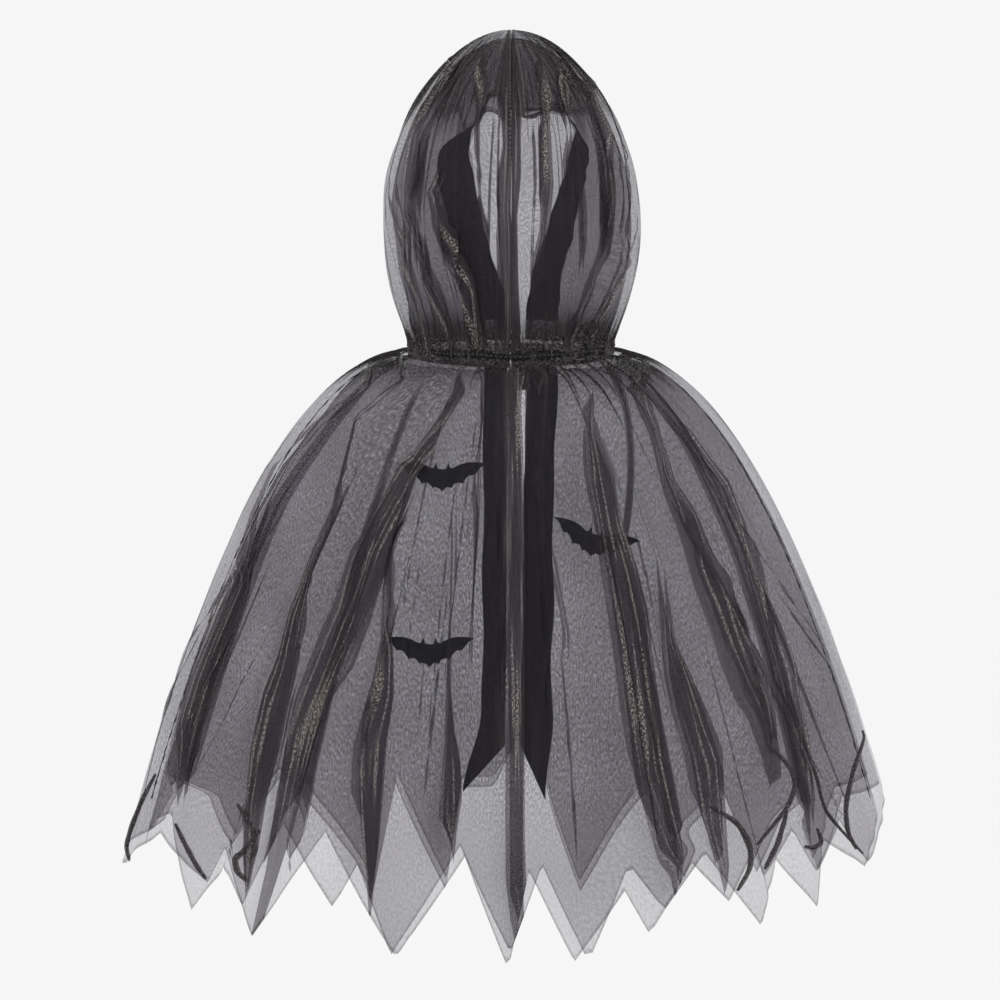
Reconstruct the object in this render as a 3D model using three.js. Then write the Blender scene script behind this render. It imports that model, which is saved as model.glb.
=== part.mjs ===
// A child's hooded costume cape in sheer black fabric, with the hood up and the fronts closed.
// Millimetres. +Z is up, +Y is towards the wearer's back, +X towards the wearer's left.
// The origin is the centre of the neck seam, where the cape rests on the wearer's neck.
//
// A place on the cape is given by its turn, the angle round the body from the centre back, and its drop
// below the neck seam. A place on the hood is given by its turn and its height above the neck seam.

import * as THREE from "three";
import { mergeVertices } from "three/addons/utils/BufferGeometryUtils.js";

// Driving dimensions
const SHEER_THICKNESS = 1.6;
const LAYER_SPACING = 8; // from the outer layer to the layer that hangs under it
const TRIM_THICKNESS = 1.2;
const CROWDING = 1.5; // crowds a trim's rows towards the neck, where the cape curves most
const HALF_TAPE = 4; // half the width of a seam tape
const TRIM_INSET = 4.2; // depth of a trim that lies between the two layers
const LINING_INSET = LAYER_SPACING + SHEER_THICKNESS + 3; // depth of a trim inside the inner layer
const SEAM_GAP = 0.8; // between two panels joined edge to edge

const NECK_HALF_WIDTH = 100;
const NECK_HALF_DEPTH = 62;
const BINDING_HEIGHT = 11;
const BINDING_LIFT = 0.8;
const BINDING_THICKNESS = 3;
const BINDING_FACE = NECK_HALF_DEPTH + BINDING_THICKNESS / 2; // depth of its outer face in front

const BODY_DROP = 450; // drop at which the spreads below are reached
const SIDE_SPREAD = 273;
const SIDE_POWER = 0.47;
const BACK_SPREAD = 90;
const FRONT_SPREAD = 70;
const DEPTH_POWER = 0.6;
const EVEN_SPACING = 0.15; // evens out the arc length of equal shares round the wide oval

const BACK_TEETH = 13;
const FRONT_TEETH = 5;
const BACK_HEM = { sideTip: 515, centreTip: 604, sideNotch: 458, centreNotch: 500 };
const FRONT_HEM = { sideTip: 515, centreTip: 520, sideNotch: 458, centreNotch: 440 };
const FRONT_EDGE_DROP = 393;
const INNER_LAYER_RISE = 12; // the inner layer's points end this much higher
const SLIT_X = -12;
const SLIT_HALF_WIDTH = 3;
const FIRST_DROP = 0.1;
const LEVELS = [FIRST_DROP, 8, 24, 52, 95, 160, 240, 320, 385];

const HOOD_BASE = 12.6;
const HOOD_WIDEST_HEIGHT = 125;
const HOOD_TOP = 321;
const HOOD_HALF_WIDTH = 127.5;
const HOOD_BASE_HALF_WIDTH = 103.5;
const HOOD_HALF_DEPTH = 115;
const HOOD_BACK_LEAN = 8;
const BROW_HEIGHT = 246;
const FACE_EDGE = [[9, HOOD_BASE], [33, 52], [52, 122], [71, 202], [58, 232], [0, BROW_HEIGHT]];
const FACE_BAND_WIDTH = 22;
const FACE_BAND_START = 0.06; // share of the face edge left free above the neck seam
const FACE_ROWS = 12;
const CROWN_ROWS = 5;
const HOOD_COLUMNS = 14;

const LABEL = { width: 11, height: 36, thickness: 0.8 };
const LABEL_X = -13;
const LABEL_TOP = -3;
const LABEL_INSET = 10; // from the back of the neck seam
const TAB = { width: 36, height: 9, thickness: 1.2 };
const PATCH_THICKNESS = 0.8;
const PATCH_GAP = 4; // from the slit to the loop patch
const PATCH_STANDOFF = 0.7; // from the binding's outer face to the middle of the loop patch
const TAB_STANDOFF = 2.32; // from the binding's outer face to the middle of the hook tab
const BAT_SPAN = 90;
const BAT_TILT = THREE.MathUtils.degToRad(16);
const BATS = [
  { name: "bat_patch_upper_left", x: 69, drop: 118, tilt: 0 },
  { name: "bat_patch_lower_left", x: 81, drop: 293, tilt: 0 },
  { name: "bat_patch_right", x: -80, drop: 186, tilt: BAT_TILT },
];
const FACING_TOP_DROP = 4;
const FACING_EDGE_RISE = 2; // the facing ends this much above the front layers' corner
const FACING_SETBACK = 1; // from the front edge
const LEFT_FACING = { topWidth: 27, bottomWidth: 45, outerDrop: 435 };
const RIGHT_FACING = { topWidth: 32, bottomWidth: 28, outerDrop: 443 };

const RIGHT_ANGLE = Math.PI / 2;

const fabric = (color, roughness, opacity = 1) =>
  new THREE.MeshStandardMaterial({
    color,
    roughness,
    metalness: 0,
    opacity,
    transparent: opacity < 1,
    side: THREE.DoubleSide,
  });
const SHEER = fabric(0x2b2a2e, 0.45, 0.4);
const SATIN = fabric(0x141315, 0.35);
const SEAM = fabric(0x1c1b1e, 0.7);
const PRINT = fabric(0x0e0d0f, 0.6);
const LABEL_TAPE = fabric(0x4b464a, 0.7);
const HOOK_TAPE = fabric(0x18171a, 0.85);

// The cape's surface

const share = (drop, power) => Math.pow(drop / BODY_DROP, power);
const halfWidth = (drop) => NECK_HALF_WIDTH + SIDE_SPREAD * share(drop, SIDE_POWER);
const halfDepth = (drop, spread) => NECK_HALF_DEPTH + spread * share(drop, DEPTH_POWER);
const spaced = (even) => even - EVEN_SPACING * Math.sin(2 * even);

function capePoint(turn, drop) {
  const spread = Math.abs(turn) <= RIGHT_ANGLE ? BACK_SPREAD : FRONT_SPREAD;
  return new THREE.Vector3(
    halfWidth(drop) * Math.sin(turn),
    halfDepth(drop, spread) * Math.cos(turn),
    -drop,
  );
}

// The turn of the place on the back or the front at a given x.
const backTurn = (x, drop) => Math.asin(x / halfWidth(drop));
const frontTurn = (x, drop) => Math.sign(x - SLIT_X) * Math.PI - Math.asin(x / halfWidth(drop));

// The hem's drop: points and notches, with their depths blended from the side seam to the centre.
function zigzag(hem, phase, nearCentre) {
  const tip = THREE.MathUtils.lerp(hem.sideTip, hem.centreTip, nearCentre);
  const notch = THREE.MathUtils.lerp(hem.sideNotch, hem.centreNotch, nearCentre);
  const fromNotch = 1 - Math.abs(2 * (phase - Math.floor(phase)) - 1);
  return THREE.MathUtils.lerp(notch, tip, fromNotch);
}

// Geometry helpers

// The outward normal at a grid place. At a pole, where a row shrinks to one point, it is straight up.
function normalAt(pointAt, i, j, rows) {
  const nudge = 0.01; // of a column
  const across = pointAt(i + nudge, j).sub(pointAt(i - nudge, j));
  const along = pointAt(i, Math.min(j + 1, rows)).sub(pointAt(i, Math.max(j - 1, 0)));
  const normal = across.cross(along);
  if (normal.length() < 1e-6) return new THREE.Vector3(0, 0, 1);
  const place = pointAt(i, j);
  const fromBody = new THREE.Vector3(place.x, place.y, 50);
  return normal.multiplyScalar(Math.sign(normal.dot(fromBody))).normalize();
}

// Merges shared points, drops the triangles that shrank to nothing and turns the faces outwards.
function closedGeometry(points, triangles) {
  const loose = new THREE.BufferGeometry().setFromPoints(points);
  loose.setIndex(triangles);
  const merged = mergeVertices(loose, 1e-3);
  const position = merged.getAttribute("position");
  const corner = (k) => new THREE.Vector3().fromBufferAttribute(position, k);
  const kept = [];
  let volume = 0;
  for (let t = 0; t < merged.index.count; t += 3) {
    const [a, b, c] = merged.index.array.slice(t, t + 3);
    if (a === b || b === c || c === a) continue;
    kept.push(a, b, c);
    volume += corner(a).dot(corner(b).cross(corner(c)));
  }
  if (volume < 0) kept.reverse();
  merged.setIndex(kept);
  merged.computeVertexNormals();
  return merged;
}

// A thin closed solid over a grid of `columns` by `rows` cells on the surface that `pointAt` gives. It lies
// from `inset` to `inset + thickness` under that surface.
function sheetGeometry(columns, rows, pointAt, inset, thickness) {
  const points = [];
  for (const depth of [inset, inset + thickness]) {
    for (let i = 0; i <= columns; i += 1) {
      for (let j = 0; j <= rows; j += 1) {
        points.push(pointAt(i, j).addScaledVector(normalAt(pointAt, i, j, rows), -depth));
      }
    }
  }
  const outer = (i, j) => i * (rows + 1) + j;
  const inner = (i, j) => points.length / 2 + outer(i, j);
  const triangles = [];
  const quad = (a, b, c, d) => triangles.push(a, b, c, a, c, d);
  for (let i = 0; i < columns; i += 1) {
    for (let j = 0; j < rows; j += 1) {
      quad(outer(i, j), outer(i + 1, j), outer(i + 1, j + 1), outer(i, j + 1));
      quad(inner(i, j), inner(i, j + 1), inner(i + 1, j + 1), inner(i + 1, j));
    }
    quad(outer(i, 0), inner(i, 0), inner(i + 1, 0), outer(i + 1, 0));
    quad(outer(i, rows), outer(i + 1, rows), inner(i + 1, rows), inner(i, rows));
  }
  for (let j = 0; j < rows; j += 1) {
    quad(outer(0, j), outer(0, j + 1), inner(0, j + 1), inner(0, j));
    quad(outer(columns, j), inner(columns, j), inner(columns, j + 1), outer(columns, j + 1));
  }
  return closedGeometry(points, triangles);
}

function part(name, geometry, material) {
  const mesh = new THREE.Mesh(geometry, material);
  mesh.name = name;
  return mesh;
}

// The back panel's two layers

function backLayer(name, inset, shift, rise) {
  const columns = BACK_TEETH * 2;
  const pointAt = (i, j) => {
    const side = (2 * i) / columns - 1;
    const turn = spaced(side * (RIGHT_ANGLE - SEAM_GAP / NECK_HALF_WIDTH));
    const nearCentre = Math.cos(side * RIGHT_ANGLE);
    const hem = zigzag(BACK_HEM, (BACK_TEETH * (side + 1)) / 2 + shift, nearCentre) - rise;
    return capePoint(turn, j < LEVELS.length ? LEVELS[j] : hem);
  };
  return part(name, sheetGeometry(columns, LEVELS.length, pointAt, inset, SHEER_THICKNESS), SHEER);
}

// A front panel's two layers. `side` is 1 on the wearer's left and -1 on the right.

const frontEdgeX = (side) => SLIT_X + side * SLIT_HALF_WIDTH;

function frontHem(along, shift, rise) {
  const phase = FRONT_TEETH * along + shift;
  const hem = zigzag(FRONT_HEM, phase, along) - rise;
  const lastTip = 1 - 0.5 / FRONT_TEETH;
  if (along <= lastTip) return hem;
  const toEdge = (along - lastTip) / (1 - lastTip);
  return THREE.MathUtils.lerp(FRONT_HEM.centreTip - rise, FRONT_EDGE_DROP, toEdge);
}

function frontLayer(name, side, inset, shift, rise) {
  const columns = FRONT_TEETH * 2;
  const pointAt = (i, j) => {
    const along = i / columns;
    const drop = j < LEVELS.length ? LEVELS[j] : frontHem(along, shift, rise);
    const first = RIGHT_ANGLE + SEAM_GAP / NECK_HALF_WIDTH;
    const edge = Math.abs(frontTurn(frontEdgeX(side), drop));
    const even = THREE.MathUtils.lerp(RIGHT_ANGLE, Math.PI, along);
    const reach = (spaced(even) - RIGHT_ANGLE) / RIGHT_ANGLE;
    return capePoint(side * THREE.MathUtils.lerp(first, edge, reach), drop);
  };
  return part(name, sheetGeometry(columns, LEVELS.length, pointAt, inset, SHEER_THICKNESS), SHEER);
}

// The satin facing down a front edge, cut on the slant at its lower end.
function facingBand(name, side, facing) {
  const columns = 3;
  const rows = 10;
  const pointAt = (i, j) => {
    const across = i / columns;
    const end = THREE.MathUtils.lerp(FRONT_EDGE_DROP - FACING_EDGE_RISE, facing.outerDrop, across);
    const drop = THREE.MathUtils.lerp(FACING_TOP_DROP, end, Math.pow(j / rows, CROWDING));
    const width = THREE.MathUtils.lerp(facing.topWidth, facing.bottomWidth, j / rows);
    const x = frontEdgeX(side) + side * (FACING_SETBACK + width * across);
    return capePoint(frontTurn(x, drop), drop);
  };
  return part(name, sheetGeometry(columns, rows, pointAt, LINING_INSET, TRIM_THICKNESS), SATIN);
}

// The overlocked seam between the back and a front, inside both layers.
function sideSeam(name, side) {
  const rows = 12;
  const endGap = 6;
  const pointAt = (i, j) => {
    const down = Math.pow(j / rows, CROWDING);
    const drop = THREE.MathUtils.lerp(endGap, BACK_HEM.sideNotch - endGap, down);
    const place = capePoint(side * RIGHT_ANGLE, drop);
    place.y = (2 * i - 1) * HALF_TAPE;
    return place;
  };
  return part(name, sheetGeometry(1, rows, pointAt, LINING_INSET, TRIM_THICKNESS), SEAM);
}

// The gathered binding round the neck, open at the slit.
function neckBinding() {
  const columns = 40;
  const levels = [BINDING_LIFT, BINDING_LIFT + BINDING_HEIGHT];
  const edges = [-1, 1].map((side) => {
    const x = frontEdgeX(side) / NECK_HALF_WIDTH;
    return side * Math.PI - Math.asin(x);
  });
  const pointAt = (i, j) => {
    const turn = THREE.MathUtils.lerp(edges[0], edges[1], i / columns);
    const x = (NECK_HALF_WIDTH + BINDING_THICKNESS / 2) * Math.sin(turn);
    const y = (NECK_HALF_DEPTH + BINDING_THICKNESS / 2) * Math.cos(turn);
    return new THREE.Vector3(x, y, levels[j]);
  };
  return part("neck_binding", sheetGeometry(columns, 1, pointAt, 0, BINDING_THICKNESS), SATIN);
}

// The hood

function hoodSection(height) {
  if (height < HOOD_WIDEST_HEIGHT) {
    const low = (HOOD_WIDEST_HEIGHT - height) / (HOOD_WIDEST_HEIGHT - HOOD_BASE);
    return {
      halfWidth: HOOD_HALF_WIDTH - (HOOD_HALF_WIDTH - HOOD_BASE_HALF_WIDTH) * low * low,
      halfDepth: HOOD_HALF_DEPTH - (HOOD_HALF_DEPTH - NECK_HALF_DEPTH) * low * low,
      lean: HOOD_BACK_LEAN * (1 - low * low),
    };
  }
  const high = (height - HOOD_WIDEST_HEIGHT) / (HOOD_TOP - HOOD_WIDEST_HEIGHT);
  const round = Math.sqrt(Math.max(0, 1 - high * high));
  return {
    halfWidth: HOOD_HALF_WIDTH * round,
    halfDepth: HOOD_HALF_DEPTH * round,
    lean: HOOD_BACK_LEAN,
  };
}

function hoodPoint(side, turn, height) {
  const section = hoodSection(height);
  const x = section.halfWidth * Math.sin(turn);
  const y = section.lean + section.halfDepth * Math.cos(turn);
  return new THREE.Vector3(side * (x + SEAM_GAP / 2), y, height);
}

const faceEdge = new THREE.CatmullRomCurve3(
  FACE_EDGE.map(([x, z]) => new THREE.Vector3(x, 0, z)),
  false,
  "centripetal",
);

// The turn at which a hood panel ends: at the face opening below the brow, at the front seam above it.
function faceTurn(x, height) {
  return Math.PI - Math.asin(Math.min(1, x / hoodSection(height).halfWidth));
}

function hoodRow(j) {
  if (j <= FACE_ROWS) {
    const edge = faceEdge.getPoint(j / FACE_ROWS);
    return { height: edge.z, end: faceTurn(edge.x, edge.z) };
  }
  const climb = Math.sin((RIGHT_ANGLE * (j - FACE_ROWS)) / CROWN_ROWS);
  return { height: THREE.MathUtils.lerp(BROW_HEIGHT, HOOD_TOP, climb), end: Math.PI };
}

function hoodPanel(name, side, inset) {
  const pointAt = (i, j) => {
    const row = hoodRow(j);
    return hoodPoint(side, (row.end * i) / HOOD_COLUMNS, row.height);
  };
  const rows = FACE_ROWS + CROWN_ROWS;
  return part(name, sheetGeometry(HOOD_COLUMNS, rows, pointAt, inset, SHEER_THICKNESS), SHEER);
}

// The facing along the face opening: a strip laid on the hood's surface beside the edge.
function faceBand(name, side) {
  const columns = 2;
  const rows = 20;
  const lowest = HOOD_BASE + 6;
  const pointAt = (i, j) => {
    const at = THREE.MathUtils.lerp(FACE_BAND_START, 1, j / rows);
    const edge = faceEdge.getPoint(at);
    const tangent = faceEdge.getTangent(at);
    const away = (FACE_BAND_WIDTH * i) / columns;
    const x = Math.max(0, edge.x + tangent.z * away);
    const height = Math.max(lowest + j / rows, edge.z - tangent.x * away);
    return hoodPoint(side, faceTurn(x, height), height);
  };
  return part(name, sheetGeometry(columns, rows, pointAt, TRIM_INSET, TRIM_THICKNESS), SATIN);
}

// The tape inside the centre seam, from the back of the neck over the crown to just short of the brow.
function centreSeam() {
  const riseRows = 8;
  const overRows = 16;
  const crownRise = HOOD_TOP - HOOD_WIDEST_HEIGHT;
  const browTurn = Math.acos((BROW_HEIGHT - HOOD_WIDEST_HEIGHT) / crownRise);
  const bandGap = 6;
  const lastTurn = browTurn - (FACE_BAND_WIDTH + bandGap) / HOOD_HALF_DEPTH;
  const pointAt = (i, j) => {
    const x = (i - 1) * HALF_TAPE;
    if (j < riseRows) {
      const height = THREE.MathUtils.lerp(HOOD_BASE + HALF_TAPE, HOOD_WIDEST_HEIGHT, j / riseRows);
      const section = hoodSection(height);
      return new THREE.Vector3(x, section.lean + section.halfDepth, height);
    }
    const over = THREE.MathUtils.lerp(-RIGHT_ANGLE, lastTurn, (j - riseRows) / overRows);
    const height = HOOD_WIDEST_HEIGHT + crownRise * Math.cos(over);
    return new THREE.Vector3(x, HOOD_BACK_LEAN - HOOD_HALF_DEPTH * Math.sin(over), height);
  };
  const geometry = sheetGeometry(2, riseRows + overRows, pointAt, TRIM_INSET, TRIM_THICKNESS);
  return part("hood_centre_seam", geometry, SEAM);
}

// Small pieces

// The outline of a plain bat for a span of 1, anticlockwise from the head's dip: the wing on the left, then
// its mirror image.
function batShape() {
  const half = [
    [0, 0.12],
    [0.03, 0.2],
    [0.05, 0.11],
    [0.12, 0.09],
    [0.24, 0.15],
    [0.5, 0.1],
  ];
  const scallops = [
    [0.4, 0.06, 0.33, -0.04],
    [0.26, 0.03, 0.2, -0.09],
    [0.13, -0.02, 0.09, -0.12],
    [0.05, -0.08, 0, -0.19],
  ];
  const wing = half.map(([x, z]) => new THREE.Vector2(-x, z));
  for (const [bendX, bendZ, x, z] of scallops) {
    const from = wing[wing.length - 1];
    const bend = new THREE.Vector2(-bendX, bendZ);
    const curve = new THREE.QuadraticBezierCurve(from, bend, new THREE.Vector2(-x, z));
    wing.push(...curve.getPoints(4).slice(1));
  }
  const mirrored = wing.slice(1, -1).map((p) => new THREE.Vector2(-p.x, p.y)).reverse();
  return [...wing, ...mirrored];
}

// A bat cut from thin fabric, lying on the inner back layer, centred at x and drop and tilted by `tilt`.
function batPatch({ name, x, drop, tilt }) {
  const middle = new THREE.Vector2(0, 0);
  const outline = batShape().map((p) => p.rotateAround(middle, tilt).multiplyScalar(BAT_SPAN));
  const faces = THREE.ShapeUtils.triangulateShape(outline, []);
  const step = 0.5;
  const points = [];
  for (const depth of [TRIM_INSET, TRIM_INSET + TRIM_THICKNESS]) {
    for (const corner of outline) {
      const at = (dx, dz) => {
        const place = drop - corner.y - dz;
        return capePoint(backTurn(x + corner.x + dx, place), place);
      };
      const normal = at(step, 0).sub(at(-step, 0)).cross(at(0, step).sub(at(0, -step))).normalize();
      points.push(at(0, 0).addScaledVector(normal, (normal.y > 0 ? -1 : 1) * depth));
    }
  }
  const count = outline.length;
  const triangles = [];
  for (const [a, b, c] of faces) triangles.push(a, b, c, count + c, count + b, count + a);
  for (let k = 0; k < count; k += 1) {
    const next = (k + 1) % count;
    triangles.push(next, k, count + k, next, count + k, count + next);
  }
  return part(name, closedGeometry(points, triangles), PRINT);
}

function flatPiece(name, size, material) {
  return part(name, new THREE.BoxGeometry(size.width, size.thickness, size.height), material);
}

function neckLabel() {
  const label = flatPiece("neck_label", LABEL, LABEL_TAPE);
  label.position.set(LABEL_X, NECK_HALF_DEPTH - LABEL_INSET, LABEL_TOP - LABEL.height / 2);
  return label;
}

function hookTab() {
  const tab = flatPiece("neck_tab_hook_side", TAB, HOOK_TAPE);
  tab.position.set(SLIT_X, -(BINDING_FACE + TAB_STANDOFF), BINDING_LIFT + BINDING_HEIGHT / 2);
  return tab;
}

function loopPatch() {
  const size = { width: TAB.width / 2 - PATCH_GAP, height: TAB.height, thickness: PATCH_THICKNESS };
  const patch = flatPiece("neck_patch_loop_side", size, HOOK_TAPE);
  const x = SLIT_X - PATCH_GAP - size.width / 2;
  patch.position.set(x, -(BINDING_FACE + PATCH_STANDOFF), BINDING_LIFT + BINDING_HEIGHT / 2);
  return patch;
}

// The assembly

function capeBack() {
  const group = new THREE.Group();
  group.add(
    neckBinding(),
    backLayer("back_outer_layer", 0, 0, 0),
    backLayer("back_inner_layer", LAYER_SPACING, 0.5, INNER_LAYER_RISE),
    sideSeam("left_side_seam", 1),
    sideSeam("right_side_seam", -1),
    ...BATS.map(batPatch),
    loopPatch(),
  );
  return group;
}

function front(sideName, side, facing) {
  const group = new THREE.Group();
  group.add(
    frontLayer(`${sideName}_front_outer_layer`, side, 0, 0, 0),
    frontLayer(`${sideName}_front_inner_layer`, side, LAYER_SPACING, 0.5, INNER_LAYER_RISE),
    facingBand(`${sideName}_front_facing_band`, side, facing),
  );
  return group;
}

function hood() {
  const group = new THREE.Group();
  for (const [sideName, side] of [["left", 1], ["right", -1]]) {
    group.add(
      hoodPanel(`hood_${sideName}_outer_panel`, side, 0),
      hoodPanel(`hood_${sideName}_lining`, side, LAYER_SPACING),
      faceBand(`hood_${sideName}_face_band`, side),
    );
  }
  group.add(centreSeam());
  return group;
}

const cape = new THREE.Group();
cape.name = "hooded_cape";
cape.add(
  capeBack(),
  front("left", 1, LEFT_FACING),
  front("right", -1, RIGHT_FACING),
  hood(),
  hookTab(),
  neckLabel(),
);

export default cape;
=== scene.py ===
"""A child's sheer black hooded cape, seen from behind with the hood up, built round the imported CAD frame.

Metres. +Z is up, +Y is towards the wearer's back, +X towards the wearer's left. A place on the cape is given
by its turn, the angle round the body from the centre back, and its drop below the neck seam. A place on the
hood is given by its turn and its height. Each layer of cloth is one fine grid over such a surface, with its
folds worked out by formula from short lists of where each fold runs.
"""

import math

import bpy
import numpy as np
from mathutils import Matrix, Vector


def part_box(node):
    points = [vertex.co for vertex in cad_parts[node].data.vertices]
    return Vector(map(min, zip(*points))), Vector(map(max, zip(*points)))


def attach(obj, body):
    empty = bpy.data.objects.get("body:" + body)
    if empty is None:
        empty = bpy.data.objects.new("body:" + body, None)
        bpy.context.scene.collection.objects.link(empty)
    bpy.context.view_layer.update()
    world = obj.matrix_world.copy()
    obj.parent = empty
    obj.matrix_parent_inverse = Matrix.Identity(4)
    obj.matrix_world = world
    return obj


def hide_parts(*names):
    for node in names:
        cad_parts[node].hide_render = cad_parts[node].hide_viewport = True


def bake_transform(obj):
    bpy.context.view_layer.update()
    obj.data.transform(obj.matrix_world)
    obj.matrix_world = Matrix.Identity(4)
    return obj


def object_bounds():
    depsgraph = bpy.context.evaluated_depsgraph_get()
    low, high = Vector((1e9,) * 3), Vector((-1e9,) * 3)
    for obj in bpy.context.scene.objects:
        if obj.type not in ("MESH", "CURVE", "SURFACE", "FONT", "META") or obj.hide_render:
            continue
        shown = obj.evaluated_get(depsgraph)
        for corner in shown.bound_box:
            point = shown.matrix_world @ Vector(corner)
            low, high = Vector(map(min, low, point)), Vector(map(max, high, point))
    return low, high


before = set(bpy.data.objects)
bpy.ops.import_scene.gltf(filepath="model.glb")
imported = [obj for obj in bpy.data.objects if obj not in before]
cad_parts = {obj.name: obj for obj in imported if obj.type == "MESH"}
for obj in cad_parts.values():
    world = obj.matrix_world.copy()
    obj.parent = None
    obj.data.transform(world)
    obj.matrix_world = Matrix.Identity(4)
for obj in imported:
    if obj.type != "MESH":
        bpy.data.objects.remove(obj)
CAD_LOW, CAD_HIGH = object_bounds()

# Sizes from the frame

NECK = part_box("neck_binding")
BINDING_THICKNESS = 0.003
NECK_HALF_WIDTH = NECK[1].x - BINDING_THICKNESS / 2
NECK_HALF_DEPTH = NECK[1].y - BINDING_THICKNESS / 2
HOOD_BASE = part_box("hood_left_outer_panel")[0].z
HOOD_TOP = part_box("hood_left_outer_panel")[1].z
HOOD_HALF_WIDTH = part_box("hood_left_outer_panel")[1].x
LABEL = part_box("neck_label")
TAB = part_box("neck_tab_hook_side")
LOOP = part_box("neck_patch_loop_side")

# The cape's spread, the same formula as the frame's
BODY_DROP = 0.45
SIDE_SPREAD = 0.273
SIDE_POWER = 0.47
BACK_SPREAD = 0.09
FRONT_SPREAD = 0.07
DEPTH_POWER = 0.6
NECK_TILT = 0.012  # the back of the neck seam hangs lower than the front
TILT_REACH = 0.12

HOOD_WIDEST = 0.125
HOOD_BASE_HALF_WIDTH = 0.1035
HOOD_HALF_DEPTH = 0.115
HOOD_LEAN = 0.008
BROW_HEIGHT = 0.249

SLIT_X = -0.012  # the middle of the front opening
SLIT_HALF_WIDTH = 0.003

# How far inside the outer layer of cloth things lie
LAYER_SPACING = 0.008  # the inner layer
TRIM_INSET = 0.0045  # bats and face bands, between the layers
LINING_INSET = 0.0126  # front facings and side seams, inside both layers

RIGHT_ANGLE = math.pi / 2

# The camera comes first. It stands behind the cape, level with its middle.

CAMERA_DISTANCE = 5.0
VIEW_WIDTH = 1.0
SENSOR_WIDTH = 36.0
AIM = (0.011, -0.148)


def add_camera():
    data = bpy.data.cameras.new("camera")
    data.sensor_width = SENSOR_WIDTH
    data.lens = SENSOR_WIDTH * CAMERA_DISTANCE / VIEW_WIDTH
    data.clip_end = 60
    camera = bpy.data.objects.new("camera", data)
    camera.location = (AIM[0], CAMERA_DISTANCE, AIM[1])
    camera.rotation_euler = (RIGHT_ANGLE, 0, math.pi)
    bpy.context.collection.objects.link(camera)
    bpy.context.scene.camera = camera


add_camera()

# Stage and light

BACKDROP = (0.922, 0.922, 0.922, 1)


def add_world():
    world = bpy.data.worlds.new("studio")
    world.use_nodes = True
    background = world.node_tree.nodes["Background"]
    background.inputs["Color"].default_value = BACKDROP
    background.inputs["Strength"].default_value = 1.0
    bpy.context.scene.world = world


def add_floor():
    bpy.ops.mesh.primitive_plane_add(size=30, location=(0, 0, CAD_LOW.z - 0.12))
    floor = bpy.context.object
    floor.name = "floor"
    paper = bpy.data.materials.new("pale_paper")
    paper.use_nodes = True
    shader = paper.node_tree.nodes["Principled BSDF"]
    shader.inputs["Base Color"].default_value = (0.02, 0.02, 0.02, 1)
    shader.inputs["Specular IOR Level"].default_value = 0.0
    shader.inputs["Roughness"].default_value = 1.0
    shader.inputs["Emission Color"].default_value = BACKDROP
    shader.inputs["Emission Strength"].default_value = 0.98
    floor.data.materials.append(paper)


def add_soft_light(name, place, aim, size, power):
    data = bpy.data.lights.new(name, "AREA")
    data.shape = "DISK"
    data.size = size
    data.energy = power
    light = bpy.data.objects.new(name, data)
    light.location = place
    direction = Vector(aim) - light.location
    light.rotation_euler = direction.to_track_quat("-Z", "Y").to_euler()
    bpy.context.collection.objects.link(light)


add_world()
add_floor()
add_soft_light("key", (1.3, 2.2, 1.5), (0, 0.1, -0.1), 0.8, 14)
add_soft_light("fill", (-1.6, 1.9, 0.5), (0, 0.1, -0.2), 0.9, 8)
add_soft_light("front_fill", (0.6, -2.2, 1.2), (0, 0, -0.1), 1.2, 8)

scene = bpy.context.scene
scene.cycles.transparent_max_bounces = 48
scene.cycles.max_bounces = 4
scene.cycles.diffuse_bounces = 1
scene.cycles.glossy_bounces = 1
scene.view_settings.view_transform = "Standard"

# Materials


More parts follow.
